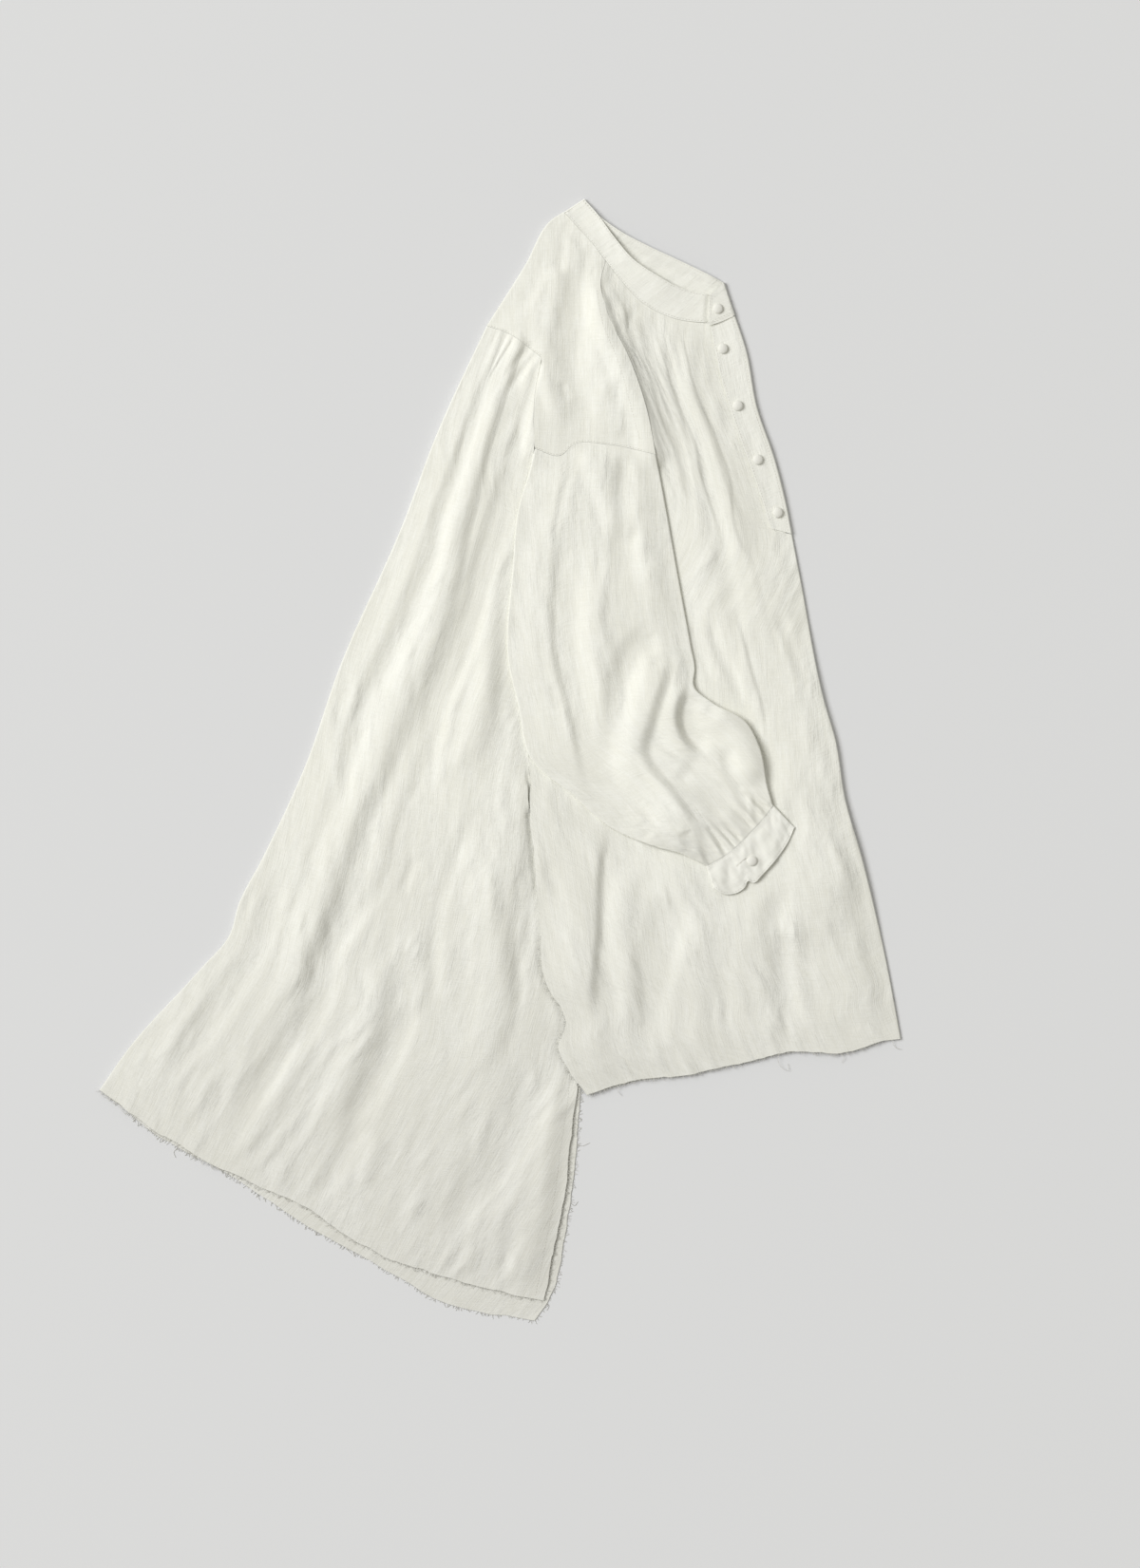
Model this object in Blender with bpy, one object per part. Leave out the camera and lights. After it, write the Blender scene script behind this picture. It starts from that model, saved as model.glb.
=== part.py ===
"""A popover shirt of ivory linen, folded down its middle and laid flat on its left side.

The tables are in millimetres from the middle of the laid shirt: right (+X) and up towards the
collar (+Y). The floor is Z = 0. The wearer's right side lies on top.
"""

import math
from collections import namedtuple

import bmesh
import bpy
import numpy as np

MM = 0.001
SHARP = math.radians(40)  # a cut edge's corners stay sharp, folds are smooth

# Driving sizes, in millimetres
WALL = 1.0  # thickness of the cloth
COLLAR_WALL = 1.4  # two layers and their seam allowance
GAP = 0.3  # between pieces at a seam, and between layers
SEAM = 0.45  # between two cut edges that follow a curve in different steps
LOFT = 4.0  # how far the top layer floats above the one below, away from folds
SLEEVE_LOFT = 4.6  # the same between the top sleeve's two walls
CUFF_LOFT = 1.2  # the same between the top cuff's two walls
PRESSED = 0.4  # the same, where something lies on it
FOLD_DEPTH = 2.0  # how far round cloth reaches past its last column at a fold
FLAT_FOLD_DEPTH = 1.0  # the same on the hidden sleeve and the cuffs
COLLAR_FOLD_DEPTH = 1.4
EDGE = FOLD_DEPTH + WALL / 2  # from the outline of a fold to the sheet's last flat column
HIDDEN_INSET = 17.6  # the hidden sleeve lies this far within the outline of the one on top
SHELTER = 16  # the body climbs over the outline this far within it
SEAM_CORNERS = 292  # the top sleeve presses on the body only below this, clear of its seam's corners
COLLAR_TRIM = 1.6  # the collar's ends stop this far short of its folds
PLACKET_TURN_IN = 1.5  # a placket strip's ends stop this far short of the slit's
PLACKET_UNDER_INSET = 1.2  # the top strip's hidden edge, from the slit's other side
PLACKET_UNDER_REACH = 6  # the strip below ends this far inside the centre front fold
BUTTON_DIAMETER = 10.5
BUTTON_HEIGHT = 4.2

# Heights of the layers' middles, in millimetres
LAYER = WALL + GAP
FLOOR_MID = WALL / 2
SLEEVE_STACK = 2 * LAYER  # the hidden sleeve's two walls
SLEEVE_ROOM = 1.2  # between the body's upper layer and the sleeve on top
SLEEVE_LOW = FLOOR_MID + SLEEVE_STACK + LAYER + PRESSED + WALL + SLEEVE_ROOM  # its lower wall
SHOULDER_RISE = SLEEVE_LOW - FLOOR_MID - SLEEVE_STACK  # from the neck to the top sleeve's seam
FRONT_LAP = LAYER + 0.6  # the front over the back, below the side vent's top
PLACKET_LIFT = LAYER + 0.5
COLLAR_HEIGHT = 2.9
TAB_HEIGHT = 4.9
VENT_TOP = -54  # how far up the front starts to lap over the back

# Rows and columns of the sheets
SEAM_STEPS = 14  # across the sleeve's seam, on both sides of it
YOKE_ROWS = 11  # along the yoke's front seam, on both sides of it
BACK_ROWS = 24
ARMHOLE_ROWS = 6
SIDE_ROWS = 6
BACK_COLUMNS = 26
BACK_UNDER_COLUMNS = 10
SLIT_ROWS = 11
CENTRE_FRONT_ROWS = 16
VENT_ROWS = 8
FRONT_COLUMNS = 20
FRONT_UNDER_COLUMNS = 7
SLEEVE_ROWS = 21
HIDDEN_SLEEVE_ROWS = 12
HIDDEN_SLEEVE_COLUMNS = 5
CUFF_COLUMNS = 8
PLACKET_ROWS = 9
OUTLINE_STEPS = 24  # a long edge, where only the distance to it counts
EDGE_STEPS = 16
BUTTON_SIDES = 10

Finish = namedtuple("Finish", "name colour roughness")
LINEN = Finish("ivory linen", (0.80, 0.79, 0.73), 0.92)
LINEN_DOUBLE = Finish("ivory linen, doubled", (0.82, 0.81, 0.75), 0.90)
BUTTON_LINEN = Finish("linen covered button", (0.78, 0.77, 0.71), 0.88)

# Outlines as laid. Columns: right, up
CENTRE_BACK = (
    (-13, 434), (-62, 328), (-98, 233), (-161, 90), (-194, -5), (-238, -100), (-262, -147), (-269, -173),
    (-300, -210), (-372, -290), (-400, -330),
)
YOKE_CENTRE_BACK = ((64, 548), (53, 541), (25, 494), (-13, 434))
YOKE_SEAM = ((-13, 434), (9, 426), (42, 402))
YOKE_ARMHOLE = ((42, 402), (36, 370), (34, 340), (35, 311))
SLEEVE_SEAM = ((35, 311), (61, 304), (74, 315), (108, 315), (156, 305))
YOKE_FRONT = ((106, 499), (101, 478), (107, 449), (130, 400), (147, 350), (156, 305))
NECK_BACK = ((64, 548), (76, 535), (93, 516), (106, 499))
NECK_FRONT = ((106, 499), (120, 481), (143, 457), (172, 442), (216, 436))
NECK_BACK_UNDER = ((64, 548), (76, 531), (92, 514), (105, 503))
NECK_FRONT_UNDER = ((105, 503), (128, 487), (160, 471), (195, 456), (214, 450), (235, 444))
BACK_HEM = (
    (-400, -330), (-346, -370), (-264, -416), (-191, -449), (-141, -484), (-60, -515), (44, -541),
)
BACK_HEM_UNDER = (
    (-400, -330), (-346, -372), (-249, -428), (-177, -475), (-97, -519), (-57, -543), (-24, -551),
    (35, -561),
)
BACK_ARMHOLE = ((42, 402), (36, 370), (34, 340), (33.5, 312), (29.5, 297), (33, 262), (60, 218))
SIDE_SEAM = ((60, 218), (48, 110), (29, 5))
BACK_VENT = (
    (29, 5), (32, -54), (48, -112), (68, -209), (78, -331), (70, -388), (64, -435), (52, -500), (44, -541),
)
BACK_VENT_UNDER = (
    (29, 5), (32, -54), (50, -112), (72, -209), (81, -331), (76, -388), (67, -460), (51, -537), (35, -561),
)
FRONT_ARMHOLE = ((156, 305), (164, 284), (158, 255), (110, 228), (60, 218))
FRONT_VENT = ((29, 5), (34, -54), (41, -152), (46, -224), (65, -260), (59, -288), (70, -311), (87, -335))
FRONT_VENT_UNDER = ((29, 5), (34, -54), (52, -112), (75, -209), (87, -333))
FRONT_HEM = ((87, -335), (133, -322), (181, -315), (250, -301), (295, -291), (342, -292), (383, -281))
SLIT = ((216, 436), (226, 380), (234, 352), (251, 300), (266, 257), (275, 229))
SLIT_UNDER = ((214, 450), (226, 380), (234, 352), (251, 300), (266, 257), (275, 229))
BESIDE_FOLD = ((275, 229), (283, 179), (306, 57), (325, -37), (343, -101), (369, -204), (383, -281))
FOLD_BY_SLIT = ((235, 444), (246, 411), (257, 353), (275, 300), (287, 252), (292, 226))
CENTRE_FRONT = (
    (292, 226), (301, 179), (325, 57), (336, 19), (345, -37), (363, -101), (387, -204), (401, -279),
)
PLACKET_EDGE = ((212, 429), (215, 411), (222, 380), (230, 352), (248, 300), (263, 257), (271, 231))
SLEEVE_BACK = (
    (35, 311), (29, 285), (20, 257), (13, 190), (9, 95), (18, 57), (32, 0), (70, -33), (111, -68),
    (156, -87), (184, -95), (207, -106),
)
SLEEVE_FRONT = (
    (156, 305), (165, 257), (177, 190), (191, 114), (195, 92), (194, 74), (213, 57), (246, 38), (259, 14),
    (268, -29), (273, -46),
)
CUFF_SEAM = ((207, -106), (229, -93), (248, -75), (267, -54), (273, -46))
CUFF_EDGE = ((214, -128), (222, -133), (237, -133), (258, -121), (277, -97), (294, -68))
COLLAR_TOP = ((84, 561), (95, 549), (115, 522), (133, 501), (156, 485), (178, 473), (200, 467), (218, 464))
COLLAR_TOP_UNDER = ((84, 561), (93, 550), (120, 529), (148, 514), (178, 500), (207, 486), (224, 477))
TAB_TOP = ((224, 477), (217, 471), (210, 465))
TAB_FOOT = ((235, 444), (219, 437), (209, 434))

# Folds: height above the floating cloth (a trough is below it), how far it reaches to the left and
# to the right of its line, and the line itself from the neck towards the hem
Fold = namedtuple("Fold", "height left right line")
BACK_FOLDS = (
    Fold(-3.8, 13, 13, ((4, 424), (-20, 361), (-56, 247), (-91, 143), (-143, 29), (-172, -86))),
    Fold(5.0, 20, 15, (
        (18, 418), (-29, 276), (-67, 133), (-120, 0), (-172, -124), (-224, -257), (-295, -361),
    )),
    Fold(-2.6, 8, 8, ((30, 413), (11, 371))),
    Fold(-4.6, 18, 13, ((39, 394), (9, 276), (-29, 133), (-72, 10), (-77, -29), (-67, -67))),
    Fold(4.2, 14, 14, ((9, 171), (-10, 86), (-34, 10), (-48, -19))),
    Fold(-3.8, 16, 14, ((-219, -95), (-229, -152), (-267, -228), (-324, -314))),
    Fold(-4.4, 20, 15, ((-124, -119), (-167, -190), (-186, -252), (-224, -304), (-257, -371))),
    Fold(4.6, 19, 15, ((-110, -190), (-124, -238), (-156, -323), (-176, -375))),
    Fold(-3.6, 14, 14, ((-86, -238), (-120, -314), (-153, -375))),
    Fold(4.4, 26, 20, ((2, -57), (-6, -152), (-1, -228), (-29, -333))),
    Fold(-4.4, 20, 14, ((49, -290), (32, -342), (4, -409), (-67, -478))),
    Fold(3.4, 11, 11, ((62, -330), (56, -400), (44, -450))),
)
YOKE_FOLDS = (
    Fold(-3.4, 14, 12, ((77, 523), (67, 437), (63, 390), (82, 333), (89, 314))),
    Fold(3.2, 20, 20, ((91, 505), (97, 428), (114, 370), (116, 320))),
)
SHADE_BY_YOKE = Fold(-4.0, 3, 15, ((116, 468), (129, 429), (143, 395), (155, 352), (167, 312)))
FRONT_FOLDS = (
    SHADE_BY_YOKE,
    Fold(-4.2, 11, 11, ((156, 447), (177, 380), (208, 266), (234, 165), (251, 57), (262, 20))),
    Fold(4.2, 11, 11, ((175, 437), (189, 390), (232, 257), (260, 152), (278, 80))),
    Fold(-3.4, 10, 10, ((191, 428), (218, 333), (260, 228), (294, 124))),
    Fold(3.6, 26, 12, ((84, -80), (76, -190), (72, -250))),
    Fold(-4.2, 8, 18, ((113, -80), (104, -130), (97, -190), (92, -247))),
    Fold(3.4, 14, 14, ((126, -100), (124, -190), (133, -280))),
    Fold(-3.4, 22, 22, ((184, -130), (161, -200), (151, -238), (156, -304))),
    Fold(-4.2, 15, 12, ((275, -115), (281, -171), (296, -266), (308, -289))),
    Fold(3.6, 28, 24, ((322, -95), (343, -190), (358, -270))),
)
SLEEVE_FOLDS = (
    Fold(-5.0, 12, 12, ((118, 318), (120, 247), (129, 166))),
    Fold(3.4, 20, 15, ((148, 280), (158, 200), (168, 140))),
    Fold(-5.0, 13, 12, ((67, 228), (61, 152), (75, 57), (91, 0), (111, -60))),
    Fold(4.0, 24, 20, ((94, 200), (98, 120), (100, 57))),
    Fold(-5.0, 17, 15, ((165, 133), (127, 86), (118, 10), (123, -10))),
    Fold(5.4, 14, 14, ((165, 105), (151, 52), (140, 0), (156, -33), (184, -62))),
    Fold(-5.0, 11, 10, ((196, 76), (182, 52), (184, 19), (206, 3))),
    Fold(4.6, 19, 17, ((212, 48), (236, 22), (246, -8))),
)

# Gathers: how many along a seam, how high, how long they run into the cloth, and the seam
Gathers = namedtuple("Gathers", "count height length seam")
YOKE_GATHERS = Gathers(5, 1.6, 60, YOKE_SEAM)
NECK_GATHERS = Gathers(6, 1.4, 70, NECK_FRONT)
CUFF_GATHERS = Gathers(7, 1.5, 34, CUFF_SEAM)

# Edges that hold a panel down: the share of its loft that is left there, and how far in it is full
HeldEdge = namedtuple("HeldEdge", "share reach line")
BACK_EDGES = (HeldEdge(0.55, 40, BACK_HEM), HeldEdge(0.4, 26, CENTRE_BACK))
YOKE_EDGES = (
    HeldEdge(0.25, 40, NECK_BACK), HeldEdge(0.4, 26, YOKE_CENTRE_BACK), HeldEdge(0.6, 70, SLEEVE_SEAM),
)
FRONT_EDGES = (
    HeldEdge(0.6, 35, FRONT_HEM), HeldEdge(0.0, 26, SLIT), HeldEdge(0.2, 30, NECK_FRONT),
    HeldEdge(0.4, 26, CENTRE_FRONT),
)
SLEEVE_EDGES = (HeldEdge(0.35, 40, CUFF_SEAM),)

# Slopes: an effect is full up to the first distance and gone at the second
Slope = namedtuple("Slope", "full none")
LOWER_OVER_SLEEVE = Slope(34, 85)
UPPER_OVER_SLEEVE = Slope(88, 150)
SLEEVE_OVER_BUTTON = Slope(9, 62)
LOWER_OVER_BUTTON = Slope(40, 90)
UPPER_OVER_BUTTON = Slope(72, 118)
TOP_SLEEVE_OVER_BUTTON = Slope(86, 140)
PRESSED_BY_SLEEVE = Slope(14, 38)
PRESSED_BY_FRONT = Slope(14, 36)
LAP_ACROSS = Slope(14, 45)
LAP_UP = Slope(-58, -30)
SHOULDER_UP = Slope(320, 470)
SHOULDER_ASIDE = Slope(1, 16)
SLEEVE_FROM_SEAM = Slope(0, 45)
GATHERED_EDGE = 2  # gathers keep their full height this far from their seam

ButtonSeat = namedtuple("ButtonSeat", "name right up")
PLACKET_BUTTONS = (
    ButtonSeat("button_placket_1", 223, 411),
    ButtonSeat("button_placket_2", 238, 354),
    ButtonSeat("button_placket_3", 258, 300),
    ButtonSeat("button_placket_4", 278, 247),
)
COLLAR_BUTTON = (218, 451)
CUFF_BUTTON = (252, -101)

# A covered button's section. Columns: share of its radius, share of its height
BUTTON_SECTION = (
    (0.0, 0.0), (0.62, 0.0), (0.92, 0.14), (1.0, 0.36), (0.93, 0.62), (0.68, 0.86), (0.34, 0.97), (0.0, 1.0),
)


def smooth(value):
    """A step from 0 to 1 with soft ends."""
    value = np.clip(value, 0.0, 1.0)
    return value * value * (3 - 2 * value)


def near(distance, slope):
    """1 up to the slope's full distance, fading to 0 at its other one."""
    return smooth((slope.none - distance) / (slope.none - slope.full))


def curve(points, steps):
    """Even steps along a smooth line through the points."""
    points = np.array(points, float)
    if len(points) < 3:
        return points[0] + np.linspace(0, 1, steps + 1)[:, None] * (points[1] - points[0])
    chord = np.r_[0, np.cumsum(np.linalg.norm(np.diff(points, axis=0), axis=1))]
    slope = np.gradient(points, chord, axis=0)
    at = np.linspace(0, chord[-1], 12 * len(points))
    span = np.clip(np.searchsorted(chord, at, side="right") - 1, 0, len(points) - 2)
    length = (chord[span + 1] - chord[span])[:, None]
    t = (at - chord[span])[:, None] / length
    dense = (
        points[span] * (1 + 2 * t) * (1 - t) ** 2
        + points[span + 1] * t**2 * (3 - 2 * t)
        + length * (slope[span] * t * (1 - t) ** 2 - slope[span + 1] * t**2 * (1 - t))
    )
    run = np.r_[0, np.cumsum(np.linalg.norm(np.diff(dense, axis=0), axis=1))]
    even = np.linspace(0, run[-1], steps + 1)
    return np.stack([np.interp(even, run, dense[:, axis]) for axis in range(dense.shape[1])], axis=1)


def chain(*lines):
    """Lines that meet end to end as one, with their corners kept."""
    return np.concatenate([lines[0]] + [line[1:] for line in lines[1:]])


def inset(line, distance):
    """A line moved sideways, to the left of its direction for a positive distance."""
    along = np.gradient(line, axis=0)
    along /= np.linalg.norm(along, axis=1)[:, None]
    return line + distance * np.stack([-along[:, 1], along[:, 0]], axis=1)


def shortened(line, distance):
    """The line without this length at either end, in as many steps."""
    run = np.r_[0, np.cumsum(np.linalg.norm(np.diff(line, axis=0), axis=1))]
    at = np.linspace(distance, run[-1] - distance, len(line))
    return np.stack([np.interp(at, run, line[:, axis]) for axis in range(line.shape[1])], axis=1)


def patch(top, bottom, left, right):
    """Rows from top to bottom and columns from left to right that follow all four edges."""
    u = np.linspace(0, 1, len(top))[None, :, None]
    v = np.linspace(0, 1, len(left))[:, None, None]
    across = (1 - u) * left[:, None] + u * right[:, None]
    down = (1 - v) * top[None] + v * bottom[None]
    corners = (1 - v) * ((1 - u) * top[0] + u * top[-1]) + v * ((1 - u) * bottom[0] + u * bottom[-1])
    return across + down - corners


def nearest_on(line, place):
    """The place on a line nearest to another."""
    start, step = line[:-1], np.diff(line, axis=0)
    t = np.clip(((place - start) * step).sum(1) / (step**2).sum(1), 0, 1)
    spots = start + t[:, None] * step
    return spots[np.linalg.norm(spots - place, axis=1).argmin()]


def patched(top, bottom, left, right):
    """A patch whose sides end on its top and bottom edges, which are cut short there."""
    top, bottom, left, right = (np.array(line) for line in (top, bottom, left, right))
    for line, side, end in ((top, left, 0), (top, right, 0), (bottom, left, -1), (bottom, right, -1)):
        corner = 0 if side is left else -1
        spot = nearest_on(line, side[end])
        line[corner] = spot
        side[end] = spot
    return patch(top, bottom, left, right)


def beside(points, line):
    """For each point, its distance to a line, whether it lies to the line's left, and how far along."""
    flat = points.reshape(-1, 1, 2)
    start, step = line[:-1], np.diff(line, axis=0)
    t = np.clip(((flat - start) * step).sum(2) / (step**2).sum(1), 0, 1)
    offset = flat - (start + t[..., None] * step)
    distance = np.linalg.norm(offset, axis=2)
    nearest = distance.argmin(1)
    rows = np.arange(len(nearest))
    away, way = offset[rows, nearest], step[nearest]
    left = way[:, 0] * away[:, 1] - way[:, 1] * away[:, 0] > 0
    along = (nearest + t[rows, nearest]) / len(step)
    shape = points.shape[:-1]
    return distance[rows, nearest].reshape(shape), left.reshape(shape), along.reshape(shape)


def outside(points, outline):
    """How far each point lies outside a closed outline, 0 within it."""
    ring = np.concatenate([outline, outline[:1]])
    distance, _, _ = beside(points, ring)
    x, y = points[..., 0, None], points[..., 1, None]
    (x0, y0), (x1, y1) = ring[:-1].T, ring[1:].T
    rise = np.where(y1 == y0, 1e-9, y1 - y0)
    crossing = ((y0 > y) != (y1 > y)) & (x < x0 + (y - y0) / rise * (x1 - x0))
    return np.where(crossing.sum(-1) % 2 == 1, 0.0, distance)


def relief(points, folds):
    """Height of the folds at each point, above or below the floating cloth."""
    total = np.zeros(points.shape[:-1])
    for fold in folds:
        distance, left, _ = beside(points, curve(fold.line, OUTLINE_STEPS))
        reach = np.where(left, fold.right, fold.left)
        total += fold.height * np.clip(1 - (distance / reach) ** 2, 0, 1) ** 2
    return total


def gathers(points, row):
    """Height of a row of gathers, fading away from the seam that holds them."""
    distance, _, along = beside(points, curve(row.seam, OUTLINE_STEPS))
    fade = near(distance, Slope(GATHERED_EDGE, row.length))
    return row.height * np.cos(math.tau * row.count * along) * fade


def above_floor(height):
    """The height, eased so that no trough goes below the layer under it."""
    return 0.5 * (height + np.sqrt(height**2 + 1.0))


def held(points, edges):
    """The share of a panel's loft that its held edges leave at each point."""
    share = np.ones(points.shape[:-1])
    for edge in edges:
        distance, _, _ = beside(points, curve(edge.line, EDGE_STEPS))
        share *= edge.share + (1 - edge.share) * smooth(distance / edge.reach)
    return share


def top_sleeve_area():
    """Outline of the sleeve and cuff on top, where they press on the body."""
    ring = np.concatenate([
        curve(SLEEVE_FRONT, OUTLINE_STEPS), curve(CUFF_EDGE[::-1], CUFF_COLUMNS),
        curve(SLEEVE_BACK[::-1], OUTLINE_STEPS),
    ])
    return ring[ring[:, 1] < SEAM_CORNERS]


def hidden_sleeve_area():
    """Outline of the hidden sleeve and its cuff, a little larger than they are."""
    cuff_front, cuff_back = (SLEEVE_FRONT[-1], CUFF_EDGE[-1]), (SLEEVE_BACK[-1], CUFF_EDGE[0])
    front = inset(chain(curve(SLEEVE_FRONT, OUTLINE_STEPS), curve(cuff_front, 2)), -SHELTER)
    back = inset(chain(curve(SLEEVE_BACK, OUTLINE_STEPS), curve(cuff_back, 2)), SHELTER)
    return np.concatenate([front, back[::-1]])


def button_bump(points, slope):
    """How far the hidden cuff's button, which faces the floor, lifts what lies on it."""
    return (BUTTON_HEIGHT + GAP) * near(np.linalg.norm(points - np.array(CUFF_BUTTON), axis=-1), slope)


def hidden_sleeve_floor(points):
    """Middle of the hidden sleeve's and cuff's lower wall."""
    return FLOOR_MID + button_bump(points, SLEEVE_OVER_BUTTON)


def under_height(points):
    """Middle of the body's lower layer: on the floor, and over the hidden sleeve."""
    over_sleeve = SLEEVE_STACK * near(outside(points, hidden_sleeve_area()), LOWER_OVER_SLEEVE)
    return FLOOR_MID + over_sleeve + button_bump(points, LOWER_OVER_BUTTON)


def over_base(points):
    """Middle of the body's upper layer where it is pressed flat onto the lower one."""
    over_sleeve = SLEEVE_STACK * near(outside(points, hidden_sleeve_area()), UPPER_OVER_SLEEVE)
    return FLOOR_MID + over_sleeve + button_bump(points, UPPER_OVER_BUTTON) + LAYER + PRESSED


def top_sleeve_floor(points):
    """Middle of the lower wall of the sleeve and cuff on top."""
    return SLEEVE_LOW + button_bump(points, TOP_SLEEVE_OVER_BUTTON)


def sleeve_clearance(points):
    """0 where the top sleeve presses the body flat, 1 away from it."""
    return 1 - near(outside(points, top_sleeve_area()), PRESSED_BY_SLEEVE)


def shoulder_lift(points):
    """The yoke climbs from the neck to the top sleeve's seam, and the panels beside it follow."""
    area = chain(
        curve(NECK_BACK, 4), curve(YOKE_FRONT, 10), curve(SLEEVE_SEAM[::-1], 6), curve(YOKE_ARMHOLE[::-1], 4),
        curve(YOKE_SEAM[::-1], 4),
    )
    climb = near(points[..., 1], SHOULDER_UP)
    return SHOULDER_RISE * climb * near(outside(points, area), SHOULDER_ASIDE)


def back_height(points):
    """Middle of the back's upper half, pressed flat where the front laps over it."""
    vent, under_front, _ = beside(points, curve(FRONT_VENT[1:], EDGE_STEPS))
    beside_front = np.where(under_front, 0.0, 1 - near(vent, PRESSED_BY_FRONT))
    clear_of_front = np.where(points[..., 1] < VENT_TOP, beside_front, 1.0)
    loft = above_floor(LOFT + relief(points, BACK_FOLDS + YOKE_FOLDS) + gathers(points, YOKE_GATHERS))
    loft *= sleeve_clearance(points) * clear_of_front * held(points, BACK_EDGES)
    return over_base(points) + loft + shoulder_lift(points)


def yoke_height(points):
    """Middle of the yoke's upper half."""
    loft = above_floor(LOFT + relief(points, BACK_FOLDS + YOKE_FOLDS + (SHADE_BY_YOKE,)))
    return over_base(points) + loft * held(points, YOKE_EDGES) + shoulder_lift(points)


def front_height(points):
    """Middle of the front's upper half, which laps over the back below the vent's top."""
    vent, beyond_back, _ = beside(points, curve(BACK_VENT[:6], EDGE_STEPS))
    lap = np.where(beyond_back, near(vent, LAP_ACROSS), 1.0) * near(points[..., 1], LAP_UP)
    loft = above_floor(LOFT + relief(points, FRONT_FOLDS + YOKE_FOLDS) + gathers(points, NECK_GATHERS))
    loft *= sleeve_clearance(points) * held(points, FRONT_EDGES)
    return over_base(points) + loft + FRONT_LAP * lap + shoulder_lift(points)


def sleeve_height(points):
    """Middle of the top sleeve's upper wall, which meets the yoke at its seam."""
    seam, _, _ = beside(points, curve(SLEEVE_SEAM, EDGE_STEPS))
    loft = above_floor(SLEEVE_LOFT + relief(points, SLEEVE_FOLDS)) * held(points, SLEEVE_EDGES)
    own = top_sleeve_floor(points) + LAYER + above_floor(loft + gathers(points, CUFF_GATHERS))
    return own + (yoke_height(points) - own) * near(seam, SLEEVE_FROM_SEAM)


def level(height):
    """A layer at one height."""
    return lambda points: np.full(points.shape[:-1], float(height))


def level_above(layer, distance):
    """A layer that keeps a distance above another."""
    return lambda points: layer(points) + distance


def raised(plan, height):
    """Plan points with the height that a layer has there."""
    return np.concatenate([plan, height(plan)[..., None]], axis=2)


def turn(first, second, side, steps=3, depth=FOLD_DEPTH):
    """Columns that carry a sheet round a fold from one edge to the other, bulging to one side of it."""
    middle, half = (first + second) / 2, (first - second) / 2
    along = np.gradient(middle[:, :2], axis=0)
    along /= np.linalg.norm(along, axis=1)[:, None]
    out = np.stack([-along[:, 1], along[:, 0], np.zeros(len(along))], axis=1) * side
    angles = np.linspace(0, math.pi, steps + 2)[1:-1]
    return np.stack([middle + half * math.cos(a) + out * depth * math.sin(a) for a in angles], axis=1)


def material_of(finish):
    """The material of a finish, made once."""
    if finish.name in bpy.data.materials:
        return bpy.data.materials[finish.name]
    material = bpy.data.materials.new(finish.name)
    material.use_nodes = True
    shader = material.node_tree.nodes["Principled BSDF"]
    shader.inputs["Base Color"].default_value = (*finish.colour, 1)
    shader.inputs["Roughness"].default_value = finish.roughness
    shader.inputs["Metallic"].default_value = 0
    return material


def cloth(name, grid, finish=LINEN, wall=WALL, kept=None, closed=False):
    """A sheet through a grid of points, with its wall to both sides, open or a closed tube."""
    rows, columns = grid.shape[:2]
    faces = []
    for r in range(rows - 1):
        for c in range(columns if closed else columns - 1):
            if kept is None or kept[r][c]:
                right = (c + 1) % columns
                faces.append((
                    r * columns + c, (r + 1) * columns + c, (r + 1) * columns + right, r * columns + right,
                ))
    mesh = bpy.data.meshes.new(name)
    mesh.from_pydata((grid.reshape(-1, 3) * MM).tolist(), [], faces)
    shape = bmesh.new()
    shape.from_mesh(mesh)
    bmesh.ops.delete(shape, geom=[v for v in shape.verts if not v.link_faces], context="VERTS")
    shape.to_mesh(mesh)
    shape.free()
    mesh.shade_smooth()
    mesh.materials.append(material_of(finish))
    piece = bpy.data.objects.new(name, mesh)
    bpy.context.scene.collection.objects.link(piece)
    solid = piece.modifiers.new("wall", "SOLIDIFY")
    solid.thickness = wall * MM
    solid.offset = 0
    bpy.context.view_layer.update()
    walled = bpy.data.meshes.new_from_object(piece.evaluated_get(bpy.context.evaluated_depsgraph_get()))
    piece.modifiers.clear()
    piece.data = walled
    walled.name = name
    walled.set_sharp_from_angle(angle=SHARP)
    return piece


def make_back():
    """The back, one cut folded down the centre back: lower half, fold, upper half."""
    fold = inset(curve(CENTRE_BACK, BACK_ROWS), EDGE)
    side = chain(curve(BACK_ARMHOLE, ARMHOLE_ROWS), curve(SIDE_SEAM, SIDE_ROWS))
    vent_rows = BACK_ROWS - ARMHOLE_ROWS - SIDE_ROWS
    edge = inset(chain(side, curve(BACK_VENT, vent_rows)), -SEAM)
    edge_under = inset(chain(side, curve(BACK_VENT_UNDER, vent_rows)), -SEAM)
    top, hem = curve(YOKE_SEAM, BACK_COLUMNS) + (0, -SEAM), curve(BACK_HEM, BACK_COLUMNS)
    upper = patched(top, hem, fold, edge)
    top = curve(YOKE_SEAM, BACK_UNDER_COLUMNS) + (0, -SEAM)
    lower = patched(top, curve(BACK_HEM_UNDER, BACK_UNDER_COLUMNS), fold, edge_under)
    over, under = raised(upper, back_height), raised(lower, under_height)
    cloth("back", np.concatenate([under[:, ::-1], turn(under[:, 0], over[:, 0], -1), over], axis=1))


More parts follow.
